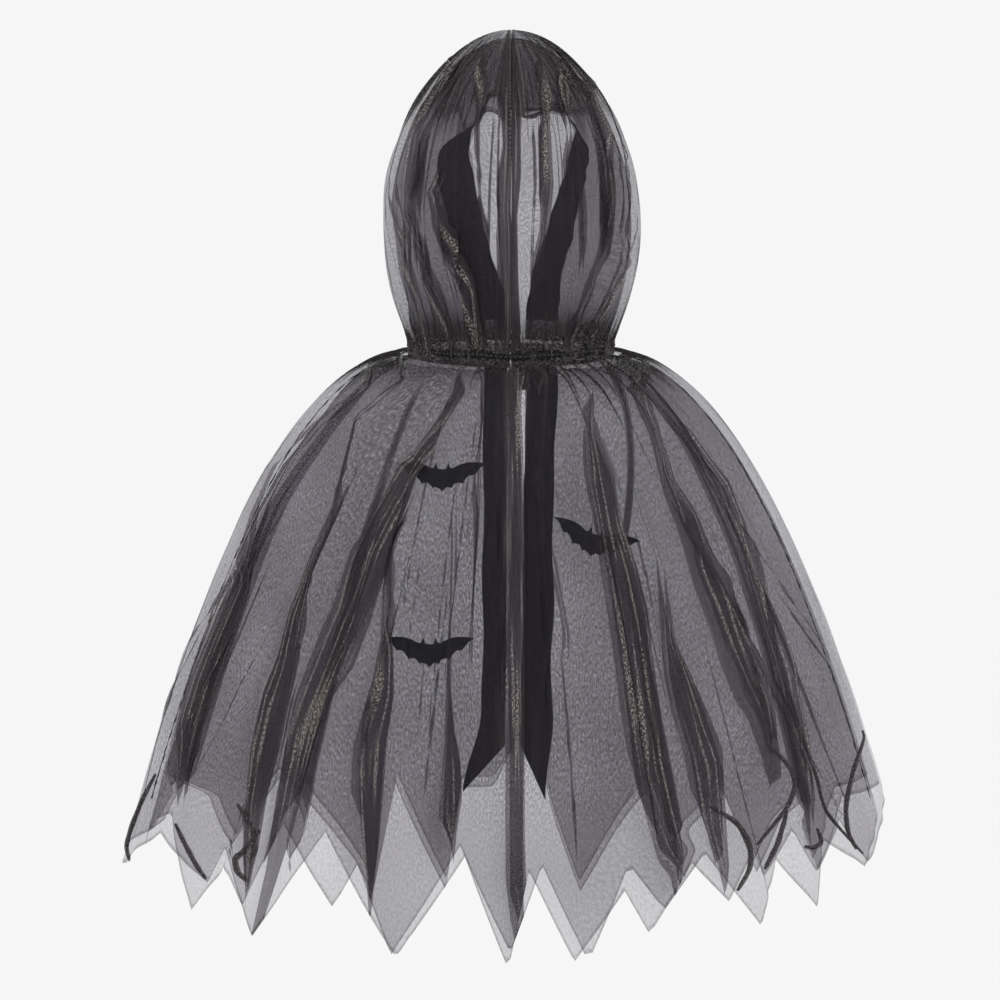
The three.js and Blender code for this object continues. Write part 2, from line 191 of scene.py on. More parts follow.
class Nodes:
    """Short names for building one material's node tree."""

    def __init__(self, name):
        self.material = bpy.data.materials.new(name)
        self.material.use_nodes = True
        self.tree = self.material.node_tree
        self.shader = self.tree.nodes["Principled BSDF"]

    def put(self, socket, value):
        if isinstance(value, bpy.types.NodeSocket):
            self.tree.links.new(value, socket)
        else:
            socket.default_value = value

    def add(self, kind, *values, **sockets):
        """A node with its first sockets given in order and others by name, each by a value or a link."""
        node = self.tree.nodes.new("ShaderNode" + kind)
        for socket, value in zip(node.inputs, values):
            self.put(socket, value)
        for key, value in sockets.items():
            self.put(node.inputs[key.replace("_", " ")], value)
        return node

    def math(self, operation, a, b=0.0, clamp=False):
        node = self.add("Math", a, b)
        node.operation = operation
        node.use_clamp = clamp
        return node.outputs[0]

    def line(self, value, factor, offset):
        return self.math("ADD", self.math("MULTIPLY", value, factor), offset)

    def scaled_uv(self, across, along):
        uv = self.add("UVMap")
        uv.uv_map = "UVMap"
        return self.add("Mapping", Vector=uv.outputs[0], Scale=(across, along, 1)).outputs[0]

    def noise(self, across, along, detail=2.0, roughness=0.5):
        """Smooth noise with so many swings to a metre across and along the cloth."""
        node = self.add("TexNoise", Vector=self.scaled_uv(across, along), Scale=1.0, Detail=detail,
                        Roughness=roughness)
        node.noise_dimensions = "2D"
        return node.outputs["Fac"]

    def ramp(self, fac, stops):
        node = self.add("ValToRGB", fac)
        elements = node.color_ramp.elements
        while len(elements) < len(stops):
            elements.new(0.5)
        for element, (place, color) in zip(elements, stops):
            element.position = place
            element.color = (*color, 1)
        return node.outputs["Color"]

    def attribute(self, name):
        node = self.add("Attribute")
        node.attribute_name = name
        return node.outputs["Fac"]

    def step(self, value, low, high):
        """A smooth step from 0 to 1 as the value goes from low to high."""
        node = self.add("MapRange", Value=value, From_Min=low, From_Max=high)
        node.interpolation_type = "SMOOTHSTEP"
        return node.outputs["Result"]

    def bump(self, height, strength, distance):
        node = self.add("Bump", Height=height, Strength=strength, Distance=distance)
        self.put(self.shader.inputs["Normal"], node.outputs[0])

    def see_through(self, cover, tint):
        """Let light of one tint through wherever the cloth does not cover."""
        clear = self.add("BsdfTransparent", Color=(*tint, 1))
        mixed = self.add("MixShader", cover, clear.outputs[0], self.shader.outputs[0])
        self.put(self.tree.nodes["Material Output"].inputs["Surface"], mixed.outputs[0])

    def finish(self, **sockets):
        for key, value in sockets.items():
            self.put(self.shader.inputs[key.replace("_", " ")], value)
        return self.material


THREAD_TINT = (0.985, 0.975, 1.0)
CALM_BELOW = (-0.50, -0.40)  # the sheer cloth's grain calms down between these heights, near the hem
CALM_GRAIN = 0.3  # how strong it stays there
HAZE = 0.4  # how much the cloth's thickness wanders from place to place
PAINTED_GLINT_COVER = 0.6  # how much of a place a full painted highlight covers
# Painted highlight: from the thread's own near-black colour up to a beige that stands in for light glinting
# off the cloth
PAINTED_GLINT_COLORS = [(0.0, (0.0135, 0.0115, 0.0165)), (0.12, (0.027, 0.023, 0.026)), (0.5, (0.14, 0.122, 0.112)),
                (1.0, (0.38, 0.335, 0.305))]


def sheer_material(name, transmission, threads, coarseness, painted_sparkle):
    """Sheer organza: threads with light between them, and painted glints, painted highlights in the base
    colour, on fold tops and where the cloth is gathered.
    """
    n = Nodes(name)
    gathered = n.attribute("gathered")
    grain = n.noise(*threads, roughness=0.55)
    cloud = n.noise(16, 9, detail=1.0)
    above_hem = n.step(n.add("SeparateXYZ", n.scaled_uv(1, 1)).outputs[1], *CALM_BELOW)
    coarse = n.line(above_hem, coarseness - CALM_GRAIN, CALM_GRAIN)
    uneven = n.math("MULTIPLY", n.math("SUBTRACT", n.step(grain, 0.38, 0.62), 0.5), coarse)
    uneven = n.math("ADD", uneven, n.math("MULTIPLY", n.math("SUBTRACT", cloud, 0.5), HAZE))
    thickness = n.math("MULTIPLY", gathered, n.math("ADD", uneven, 1.0))
    cover = n.math("SUBTRACT", 1.0, n.math("POWER", transmission, thickness), clamp=True)
    # Painted highlights: glints painted into the colour and cover, as streak highlights along the tops of
    # folds and as sparks wherever much cloth is gathered
    painted_spark_spots = n.step(n.noise(threads[0] * 1.5, threads[1] * 1.5, detail=1.0), 0.42, 0.66)
    painted_streak_mask = n.step(n.noise(240, 7, detail=1.0), 0.50, 0.68)
    painted_edge_glint = n.math("MULTIPLY", n.step(n.attribute("fold_top"), 0.1, 0.8), painted_streak_mask)
    painted_edge_glint = n.math("MULTIPLY", painted_edge_glint, n.line(painted_spark_spots, 0.7, 0.15))
    painted_fold_sparkle = n.line(n.step(gathered, 1.15, 2.4), 0.24, painted_sparkle)
    painted_glint = n.math("ADD", painted_edge_glint, n.math("MULTIPLY", painted_spark_spots, painted_fold_sparkle), clamp=True)
    n.see_through(n.math("MAXIMUM", cover, n.math("MULTIPLY", painted_glint, PAINTED_GLINT_COVER)), THREAD_TINT)
    n.bump(grain, 0.5, 0.0006)
    return n.finish(Base_Color=n.ramp(painted_glint, PAINTED_GLINT_COLORS), Roughness=n.line(grain, 0.25, 0.3),
                    Sheen_Weight=0.02, Sheen_Roughness=0.35, Specular_IOR_Level=0.16)


def satin_material(name, base, light):
    """Black satin facing: fine crosswise float threads and soft creases, with a painted sheen: the lighter
    colour, where the long crease noise runs high, is a painted highlight on the satin.
    """
    n = Nodes(name)
    floats = n.noise(260, 1900)
    mixed = n.math("ADD", n.math("MULTIPLY", floats, 0.35), n.math("MULTIPLY", n.noise(80, 6), 0.65))
    # the second colour is a painted sheen, a painted highlight on the creases
    color = n.ramp(mixed, [(0.3, base), (0.52, base), (0.70, light)])
    n.bump(mixed, 0.35, 0.0008)
    return n.finish(Base_Color=color, Roughness=n.line(floats, 0.3, 0.3), Specular_IOR_Level=0.14,
                    Sheen_Weight=0.01)


def flock_material(name):
    """Matte flocked fabric with a short, uneven pile."""
    n = Nodes(name)
    pile = n.noise(1500, 1500)
    color = n.ramp(n.noise(70, 70), [(0.35, (0.004, 0.0038, 0.0045)), (0.7, (0.009, 0.0085, 0.01))])
    n.bump(pile, 0.6, 0.0004)
    return n.finish(Base_Color=color, Roughness=n.line(pile, 0.2, 0.75), Specular_IOR_Level=0.12,
                    Sheen_Weight=0.05)


def tape_material(name, shaded_groove_color, light, pitch):
    """Ribbed woven or overlocked tape, its ribs `pitch` apart along its length, its colour lighter on the rib
    tops as painted highlight and blacker in the grooves as painted shade, with random tone from the fuzz.
    """
    n = Nodes(name)
    separate = n.add("SeparateXYZ", n.scaled_uv(1 / pitch, 1 / pitch))
    rib, cross = (n.math("SINE", n.math("MULTIPLY", separate.outputs[k], math.tau)) for k in (1, 0))
    fuzz = n.noise(900, 900)
    height = n.math("ADD", n.math("MULTIPLY", rib, 0.3), n.math("MULTIPLY", cross, 0.15))
    height = n.math("ADD", height, n.math("ADD", fuzz, 0.1))
    n.bump(height, 0.6, 0.0005)
    return n.finish(Base_Color=n.ramp(height, [(0.25, shaded_groove_color), (0.75, light)]),
                    Roughness=n.line(fuzz, 0.25, 0.6), Specular_IOR_Level=0.25)


# The last number of each sheer sets its painted highlight: how strongly painted sparks show in gathered cloth
SHEER = sheer_material("sheer_organza", 0.645, (1100, 260), 0.8, 0.10)
HOOD_SHEER = sheer_material("sheer_organza_hood", 0.60, (1100, 400), 0.5, 0.16)
# Each satin's second colour is its painted sheen
SATIN = satin_material("black_satin", (0.0022, 0.0021, 0.0024), (0.050, 0.047, 0.046))
FACE_SATIN = satin_material("black_satin_hood", (0.0045, 0.0042, 0.0048), (0.055, 0.051, 0.050))
FLOCK = flock_material("flocked_bat")
# Each tape's first colour is its painted groove shade and its second its painted rib highlight, both mixed
# with random fuzz tone
SEAM = tape_material("overlocked_seam", (0.006, 0.006, 0.007), (0.035, 0.032, 0.034), 0.0016)
THREAD = tape_material("stitching_thread", (0.06, 0.055, 0.055), (0.17, 0.155, 0.15), 0.0008)
HOOK_TAPE = tape_material("hook_and_loop_tape", (0.01, 0.01, 0.012), (0.05, 0.05, 0.055), 0.0011)

# Small mathematics


def metres(table):
    """A nested table of millimetres, in metres."""
    return [metres(row) if isinstance(row, (list, tuple)) else row / 1000 for row in table]


def joined(*parts):
    """Arrays spread over one common grid and put side by side as coordinates."""
    return np.stack(np.broadcast_arrays(*parts), axis=-1)


def unit(vectors):
    return vectors / np.maximum(np.linalg.norm(vectors, axis=-1, keepdims=True), 1e-12)


def smooth(low, high, value):
    t = np.clip((value - low) / (high - low), 0, 1)
    return t * t * (3 - 2 * t)


def wander(seed, waves_across, waves_along, count=7):
    """A smooth random function of two coordinates, between about -1 and 1."""
    draw = np.random.default_rng(seed)
    across = draw.uniform(0.35, 1.0, count) * waves_across * draw.choice([-1, 1], count)
    along = draw.uniform(0.2, 1.0, count) * waves_along
    phase = draw.uniform(0, math.tau, count)

    def value(a, b):
        total = 0
        for k in range(count):
            total = total + np.sin(across[k] * a + along[k] * b + phase[k])
        return total / math.sqrt(count * 2)

    return value


# Folds. Each is a path down the cloth with knots (drop or height, x, width). A pleat doubles the cloth back
# on itself over its whole width, so three thicknesses lie there. A crease is a small fold among many.

OVERLAP = 2.5  # how far the cloth travels back across a full fold
FOLD_REACH = 1.05  # half-width of the formula for a band one unit wide
FOLD_LIFT = 0.16  # depth of a fold, as a share of its width
FADE = 0.03  # over which a fold comes in and goes out
FURTHEST = 0.985  # the sine of the turn that no fold's middle goes past
PLEAT_SHARE = 1.3  # of a pleat's width, the flat cloth that the grid gives to each of its three thicknesses
PLEAT_SPARE = 0.006  # the flat cloth that it gives them besides
LEAST_GAP = 0.012  # the least that it gives to the cloth between two pleats


def pleat_tracks(pleats, level, half_width, widen=1.0, move=0.0):
    """Centres and widths, in turn, of each pleat at each level: two arrays, a row for each level."""
    centres, widths = [], []
    for knots in pleats:
        levels, places, sizes = (np.array(column) for column in zip(*sorted(knots)))
        x = np.interp(level, levels, places) + move
        size = np.interp(level, levels, sizes) * widen
        size = size * smooth(levels[0] - FADE, levels[0], level)
        size = size * (1 - smooth(levels[-1], levels[-1] + FADE, level))
        sine = np.clip(x / half_width, -FURTHEST, FURTHEST)
        centres.append(np.arcsin(sine))
        widths.append(size / (half_width * np.sqrt(1 - sine * sine)))
    return np.stack(centres, axis=-1), np.stack(widths, axis=-1)


PLEAT_SOFTENING = np.array((0.12, 0.23, 0.30, 0.23, 0.12))  # rounds the turns at a pleat's edges


def pleated_turns(columns, starts, ends, centres, widths, radius):
    """Rows of turns that go forward, back and forward again through each pleat.

    With them come the lift that this needs, where each column lies in the flat cloth, and how near each point
    is to the top of a fold.
    """
    rows, count = centres.shape
    widest = widths.max(axis=0)
    typical = int(rows * 0.7)  # the row by which the columns are shared out
    marks = np.concatenate([[starts[typical]], centres[typical], [ends[typical]]])
    gaps = np.maximum(np.diff(marks) - 0.4 * np.concatenate([[0], widest]), LEAST_GAP)
    lengths = [gaps[0]]
    for k in range(count):
        lengths += [PLEAT_SHARE * widest[k] + PLEAT_SPARE] * 3 + [gaps[k + 1]]
    knots = np.concatenate([[0], np.cumsum(lengths)])
    flat = np.linspace(0, knots[-1], columns)
    turns = np.empty((rows, columns))
    for row in range(rows):
        stops = [starts[row]]
        for centre, half in zip(centres[row], widths[row] / 2):
            stops += [centre - half, centre + half, centre - half, centre + half]
        stops.append(ends[row])
        line = np.interp(flat, knots, stops)
        turns[row] = np.convolve(np.pad(line, 2, mode="edge"), PLEAT_SOFTENING, mode="valid")
    lift = np.zeros_like(turns)
    top = np.zeros_like(turns)
    for k in range(count):
        across = (flat - (knots[4 * k + 1] + knots[4 * k + 4]) / 2) / lengths[4 * k + 1]
        size = (widths[:, k] * radius)[:, None]
        lift += FOLD_LIFT * size * (across * np.exp(-across * across / 2))[None, :]
        # the same nearness to a fold's top also places the painted highlights along the fold tops
        top += smooth(0.002, 0.012, size) * np.exp(-np.square((across - 1.0) / 0.6))[None, :]
    return turns, lift, flat / knots[-1], np.clip(top, 0, 1)


def fold_shift(folds, turn, along, section_half_width):
    """The change of turn and the lift off the surface that a list of folds makes."""
    shift = np.zeros_like(turn)
    lift = np.zeros_like(turn)
    for knots, strength in folds:
        drops, places, widths = (np.array(column) for column in zip(*knots))
        order = np.argsort(drops)
        centre = np.arcsin(np.clip(np.interp(along, drops[order], places[order]), -FURTHEST, FURTHEST))
        width = np.interp(along, drops[order], widths[order])
        reach = FOLD_REACH * width / (section_half_width * np.maximum(np.cos(centre), 0.25))
        inside = smooth(drops.min() - FADE, drops.min() + FADE, along)
        inside = inside * (1 - smooth(drops.max(), drops.max() + FADE, along))
        t = (turn - centre) / np.maximum(reach, 1e-5)
        pull = strength * inside
        shift -= pull * OVERLAP * reach * t * np.exp(-t * t)
        lift += pull * FOLD_LIFT * width * t * np.exp(-t * t / 2)
    return shift, lift


# The cape's surface


def cape_half_width(drop):
    return NECK_HALF_WIDTH + SIDE_SPREAD * np.power(np.maximum(drop, 0) / BODY_DROP, SIDE_POWER)


def cape_surface(turn, drop):
    spread = np.where(np.abs(turn) <= RIGHT_ANGLE, BACK_SPREAD, FRONT_SPREAD)
    depth = NECK_HALF_DEPTH + spread * np.power(np.maximum(drop, 0) / BODY_DROP, DEPTH_POWER)
    tilt = NECK_TILT * np.cos(turn) * np.exp(-np.maximum(drop, 0) / TILT_REACH)
    return joined(cape_half_width(drop) * np.sin(turn), depth * np.cos(turn), -drop - tilt)


def outward_normals(surface, across, along, heart_height=0.0):
    nudge = 1e-4
    side = surface(across + nudge, along) - surface(across - nudge, along)
    down = surface(across, along + nudge) - surface(across, np.maximum(along - nudge, 1e-6))
    normal = unit(np.cross(side, down))
    from_heart = surface(across, along) - np.array((0, 0, heart_height))
    if heart_height == 0:
        from_heart = from_heart * np.array((1, 1, 0))
    facing = (normal * from_heart).sum(-1)
    return normal * np.where(facing < 0, -1.0, 1.0)[..., None]


# Pleats of the back in millimetres, each with knots (drop, x, width) on its way down
BACK_PLEATS = metres([
    # on the wearer's left, from the side inwards
    [(28, 146, 6), (78, 201, 8), (128, 245, 9), (178, 266, 14), (228, 279, 18), (268, 283, 27),
     (328, 306, 35), (378, 323.5, 40), (428, 338, 36), (490, 345, 18)],
    [(20, 110, 2), (68, 159, 3), (158, 177, 6), (213, 199, 9), (253, 210, 14), (278, 217, 22),
     (328, 227, 28), (378, 242, 36), (428, 252, 36), (470, 259, 28), (520, 262, 18)],
    [(28, 51, 8), (78, 76, 12), (128, 106, 26), (178, 126, 34), (228, 146, 42), (278, 160, 42),
     (328, 179, 46), (378, 202, 42), (428, 214, 36), (500, 228, 26), (560, 247, 12)],
    [(20, 45, 0), (100, 74, 0), (160, 100, 0), (203, 121, 5), (253, 124, 8), (308, 124, 15), (348, 127, 26),
     (398, 139, 36), (448, 142, 36), (500, 141, 24), (540, 139, 8)],
    [(20, 37, 0), (120, 54, 0), (350, 62, 4), (408, 61, 10), (448, 60, 20), (488, 60, 26), (520, 59, 8)],
    [(20, 28, 4), (130, 34, 4), (230, 38, 5), (330, 41, 4)],
    # the centre back
    [(20, -3, 13), (100, -4, 18), (200, -5, 21), (500, -5, 19), (560, -10, 10), (600, -5, 4)],
    # on the wearer's right, outwards
    [(20, -34, 7), (80, -30, 5), (130, -24, 5), (200, -42, 4), (268, -54, 4)],
    [(58, -80, 6), (78, -80, 13), (128, -90, 26), (178, -99, 26), (228, -110, 35), (278, -119, 39),
     (328, -125, 37), (378, -131, 38), (428, -137, 35), (468, -147, 28), (508, -157, 22), (540, -167, 10)],
    [(20, -102, 0), (138, -125, 0), (228, -152, 0), (308, -160, 10), (348, -172, 28), (388, -183, 36),
     (428, -195, 38), (488, -201, 28), (530, -210, 12)],
    [(28, -126, 8), (78, -146, 8), (138, -160, 10), (178, -180, 18), (228, -196, 23), (278, -217, 30),
     (328, -233, 32), (378, -250, 30), (408, -260, 22), (440, -267, 14)],
    [(30, -138, 8), (88, -182, 8), (153, -221, 9), (208, -242, 10), (258, -258, 13), (318, -271, 15),
     (368, -285, 14), (428, -297, 16), (465, -303, 15), (492, -306, 9)],
])

# Folds of the fronts: knots (drop, sine of the turn, width) and a strength
LEFT_FRONT_FOLDS = [
    ([(0.02, 0.80, 0.008), (0.15, 0.90, 0.014), (0.42, 0.93, 0.030)], 0.9),
    ([(0.03, 0.50, 0.008), (0.20, 0.53, 0.016), (0.50, 0.58, 0.030)], 0.8),
]
RIGHT_FRONT_FOLDS = [
    ([(0.02, -0.62, 0.008), (0.20, -0.40, 0.012), (0.48, -0.44, 0.026)], 0.8),
    ([(0.02, -0.76, 0.008), (0.20, -0.80, 0.012), (0.45, -0.80, 0.018)], 0.8),
]


def thin_creases(seed, count, sides, drops, lengths, widths, drift):
    """Narrow folds scattered over the cloth, each drifting outwards as it goes down."""
    draw = np.random.default_rng(seed)
    creases = []
    for _ in range(count):
        side = draw.uniform(*sides)
        top = draw.uniform(*drops)
        length = draw.uniform(*lengths)
        width = draw.uniform(*widths)
        lean = draw.uniform(*drift)
        knots = []
        for share, size in ((0.0, 0.6), (0.4, 1.0), (1.0, 0.7)):
            knots.append((top + length * share, side * (1 + lean * share), width * size))
        creases.append((knots, draw.uniform(0.5, 1.0)))
    return creases


GATHER_DEPTH = 2.3  # how far over themselves the largest gathers fold
GATHER_RISE = 0.45  # how high they stand, as a share of that


def gathers(turn, count, seed, amount, half_width):
    """Rows of small S-shaped folds, `count` to a radian and uneven in size; an amount of 1 closes them."""
    phase = 3.0 * wander(seed, 9, 0)(turn, 0)
    size = np.clip(0.65 + 0.45 * wander(seed + 1, 31, 0)(turn, 0), 0.15, 1.2)
    strength = GATHER_DEPTH * amount * size
    wave = count * turn + phase
    return -strength / count * np.sin(wave), GATHER_RISE * strength / count * half_width * np.cos(wave)


NECK_GATHERS = 56
NECK_CROWDING = 1.3  # how much thicker the cloth lies right at the neck
CROWDING_REACH = 0.016
SWING = 0.0028  # height of the slow waves of the hanging cloth
RIPPLE = 0.0011
CRUMPLE = 0.0004
GATHER_LENGTH = 0.024  # how far down from the neck the gathers reach
LENGTH_UNEVEN = 0.026
LENGTH_RIGHT = 0.038  # how much further on the wearer's right of the back
LENGTH_SIDE = 0.014  # how much less at the sides
LENGTH_LIMITS = (0.010, 0.11)


def gather_length(turn, seed):
    """How far down from the neck the gathers reach: uneven, and longer on the wearer's right of the back."""
    uneven = wander(seed + 5, 46, 0)(turn, 0)
    right = smooth(0.1, -0.4, turn) * (1 - smooth(-0.9, -1.3, turn))
    length = GATHER_LENGTH + LENGTH_UNEVEN * uneven + LENGTH_RIGHT * right
    return np.clip(length - LENGTH_SIDE * np.power(np.sin(turn), 6), *LENGTH_LIMITS)


def cape_cloth(turn, drop, lift, inset, creases, seed):
    """Points of one back layer, the plain surface's normals there, and how thickly its threads lie."""
    half_width = cape_half_width(drop)
    shift, small_lift = fold_shift(creases, turn, drop, half_width)
    lift = lift + small_lift
    swing = wander(seed, 26, 9)
    ripple = wander(seed + 1, 70, 14)
    crumple = wander(seed + 3, 60, 90, count=9)
    amount = np.exp(-np.square(drop / gather_length(turn, seed)))
    pull, rise = gathers(turn, NECK_GATHERS, seed + 2, amount, half_width)
    lift = lift + SWING * smooth(0.05, 0.35, drop) * swing(turn, drop)
    lift = lift + RIPPLE * smooth(0.01, 0.10, drop) * ripple(turn, drop)
    lift = lift + rise + CRUMPLE * crumple(turn, drop)
    placed = turn + shift + pull
    normal = outward_normals(cape_surface, placed, drop)
    points = cape_surface(placed, drop) + normal * (lift - inset)[..., None]
    thick = (1 + NECK_CROWDING * np.exp(-drop / CROWDING_REACH)) * np.ones_like(placed)
    return points, normal, thick


# Meshes


def grid_faces(rows, columns):
    index = np.arange(rows * columns).reshape(rows, columns)
    return np.stack([index[:-1, :-1], index[:-1, 1:], index[1:, 1:], index[1:, :-1]], axis=-1).reshape(-1, 4)


def mesh_object(name, points, faces, uv, material, attributes=None):
    """A mesh from an array of points and of faces, with a UV and named values for each point."""
    mesh = bpy.data.meshes.new(name)
    corners = faces.shape[1]
    mesh.vertices.add(len(points))
    mesh.vertices.foreach_set("co", points.astype(np.float32).ravel())
    mesh.loops.add(faces.size)
    mesh.loops.foreach_set("vertex_index", faces.astype(np.int32).ravel())
    mesh.polygons.add(len(faces))
    mesh.polygons.foreach_set("loop_start", np.arange(0, faces.size, corners, dtype=np.int32))
    mesh.polygons.foreach_set("loop_total", np.full(len(faces), corners, np.int32))
    mesh.polygons.foreach_set("use_smooth", np.ones(len(faces), bool))
    layer = mesh.uv_layers.new(name="UVMap")
    layer.data.foreach_set("uv", uv[faces.ravel()].astype(np.float32).ravel())
    for key, values in (attributes or {}).items():
        attribute = mesh.attributes.new(key, "FLOAT", "POINT")
        attribute.data.foreach_set("value", values.astype(np.float32).ravel())
    mesh.update(calc_edges=True)
    mesh.validate()
    mesh.materials.append(material)
    made = bpy.data.objects.new(name, mesh)
    bpy.context.collection.objects.link(made)
    return made


DENSEST = 3.4  # the most that cloth seen edge-on counts for


def gathered_density(points, normal):
    """How much cloth lies behind each point: 1 where it lies flat, more where it stands edge-on."""
    across = np.gradient(points, axis=1)
    along = np.gradient(points, axis=0)
    own = unit(np.cross(across, along))
    facing = np.abs((own * normal).sum(-1))
    return 1 / np.maximum(facing, 1 / DENSEST)


def grid_sheet(name, points, normal, uv, material, thick=1.0, fold_top=0.0, rolls=()):
    """A sheet on a grid of points, with any rolled edges added to it as grids of their own."""
    density = gathered_density(points, normal) * thick
    blocks = [(points, uv, density, fold_top + 0 * density)] + list(rolls)
    columns = [[], [], [], []]
    faces = []
    count = 0
    for block in blocks:
        rows, wide = block[0].shape[:2]
        faces.append(grid_faces(rows, wide) + count)
        count += rows * wide
        for column, values in zip(columns, block):
            column.append(values.reshape(rows * wide, -1))
    all_points, all_uv, gathered, tops = (np.concatenate(column) for column in columns)
    return mesh_object(name, all_points, np.concatenate(faces), all_uv, material,
                       {"gathered": gathered, "fold_top": tops})


# The layers of the cape


def hem_drop(outline, turn, edge_drops):
    """The hem's drop at each turn, from an outline of (x, drop) corners."""
    turns, drops = [], []
    for x, drop in outline:
        turns.append(math.asin(max(-0.995, min(0.995, x / float(cape_half_width(np.array(drop)))))))
        drops.append(drop)
    turns = [RIGHT_ANGLE] + turns + [-RIGHT_ANGLE]
    drops = [edge_drops[0]] + drops + [edge_drops[1]]
    order = np.argsort(turns)
    return np.interp(turn, np.array(turns)[order], np.array(drops)[order])


BACK_OUTER_HEM = metres([
    (384, 508), (345, 476), (298, 522), (281, 487), (252, 572), (181, 470), (112, 590), (45, 493), (3, 601),
    (-17, 506), (-61, 594), (-110, 526), (-134, 568), (-175, 500), (-212, 538), (-236, 488), (-246, 515),
    (-275, 470), (-300, 512), (-322, 462), (-352, 505),
])
BACK_INNER_HEM = metres([
    (378, 470), (342, 455), (317, 549), (285, 505), (266, 543), (225, 462), (175, 543), (150, 500),
    (118, 588), (50, 482), (1, 585), (-30, 500), (-75, 594), (-115, 500), (-150, 545), (-190, 490),
    (-246, 562), (-262, 498), (-303, 546), (-309, 480), (-355, 508),
])
LEFT_FRONT_HEM = metres([
    (362, 478), (317, 411), (284, 500), (245, 432), (225, 530), (197, 420), (141, 553), (118, 438),
    (66, 548), (50, 443),
])
RIGHT_FRONT_HEM = metres([
    (-37, 452), (-73, 550), (-130, 442), (-178, 535), (-215, 440), (-252, 528), (-285, 442), (-312, 524),
    (-335, 448),
])
FRONT_EDGE_DROP = 0.395

# Cut edges that have rolled up on themselves: millimetres (x, drop) along each, and the roll's radius
OUTER_ROLLS = metres([
    ([(353, 420), (368, 448), (380, 478), (384, 494), (379, 506)], 2.5),
    ([(331, 467), (320, 488), (308, 508), (299, 519)], 2.4),
    ([(246, 470), (262, 492), (271, 498), (268, 512), (257, 520)], 3),
    ([(268, 446), (252, 470), (250, 490), (258, 502)], 2.6),
    ([(-193, 446), (-220, 462), (-233, 484), (-233, 507), (-220, 528)], 2.7),
    ([(-250, 385), (-272, 408), (-279, 425), (-272, 447), (-240, 484)], 2.3),
    ([(-270, 452), (-260, 484), (-247, 508)], 2.6),
    ([(-277, 348), (-287, 385), (-300, 418), (-307, 452), (-322, 470), (-347, 497)], 1.8),
    ([(-355, 378), (-338, 415), (-329, 450), (-331, 475), (-340, 492)], 2.4),
    ([(-300, 470), (-305, 484), (-296, 489), (-287, 487)], 2.2),
])


ROLL_TURNS = 1.6
ROLL_THICKNESS = 3.0  # how many layers of cloth a roll counts for
ROLL_SWELL = 1.3  # how much fatter every roll is than its listed radius
FOLD_CROWDING = 0.6  # how much closer the threads lie where a pleat is pressed together


def rolled_edge(path, radius):
    """One rolled edge: a spiral of cloth along a path on the back."""
    share = np.linspace(0, 1, 60)
    knots = np.linspace(0, 1, len(path))
    smoothing = np.hanning(19) / np.hanning(19).sum()
    x, drop = (np.convolve(np.pad(np.interp(share, knots, column), 9, mode="reflect", reflect_type="odd"),
                           smoothing, mode="valid") for column in zip(*path))
    turn = np.arcsin(np.clip(x / cape_half_width(drop), -0.998, 0.998))
    middle = cape_surface(turn, drop)
    normal = outward_normals(cape_surface, turn, drop)
    sideways = unit(np.cross(np.gradient(middle, axis=0), normal))
    around = np.linspace(0, ROLL_TURNS * math.tau, 22)
    taper = ROLL_SWELL * radius * (0.45 + 0.55 * np.sqrt(np.sin(math.pi * np.clip(share, 0.01, 0.99))))
    taper = taper * (1 + 0.18 * wander(61, 40, 0)(share, 0))
    size = taper[:, None] * (0.35 + 0.65 * around / around.max())[None, :]
    points = middle[:, None, :] + sideways[:, None, :] * (size * np.cos(around))[..., None]
    points = points + normal[:, None, :] * (size * np.sin(around))[..., None]
    uv = joined(around[None, :] * radius, -drop[:, None])
    return points, uv, np.full(size.shape, ROLL_THICKNESS), np.zeros(size.shape)


BACK_COLUMNS = 770
BACK_ROWS = 121
FRONT_COLUMNS = 400
FRONT_ROWS = 100
BACK_WEAVE_WIDTH = 1.5
FRONT_WEAVE_WIDTH = 0.62
BACK_CREASES = thin_creases(71, 30, (-0.9, 0.9), (0.01, 0.26), (0.10, 0.34), (0.0022, 0.0050), (0.0, 0.22))
INNER_CREASES = thin_creases(72, 26, (-0.92, 0.92), (0.02, 0.30), (0.10, 0.30), (0.0022, 0.0050), (0.0, 0.22))
FIRST_DROP = 0.0005  # of the first row, under the binding
LONGEST = 0.56  # the drop for which the pleats are worked out
EDGE_ROWS = (0.9955, 0.9978, 1.0)  # the last rows of a layer, so close that the cut edge can be frayed
CUT_EDGE = 0.995
FRAYED = 1.9  # how much thicker the cloth lies at a cut edge
BACK_SIDE_DROPS = {"outer": (0.51, 0.43), "inner": (0.47, 0.43)}  # the hem at the left and right side


def layer_rows(count):
    """Where the rows of a layer lie, from the neck at 0 to the hem at 1."""
    return np.concatenate([np.power(np.linspace(0, 1, count - 3), 1.25) * 0.99, EDGE_ROWS])


def near_side(turn, drop):
    """1 at the side of the cape and 0 elsewhere, and 0 at the neck."""
    return np.power(np.abs(np.sin(turn)), 14) * smooth(0.01, 0.06, drop)


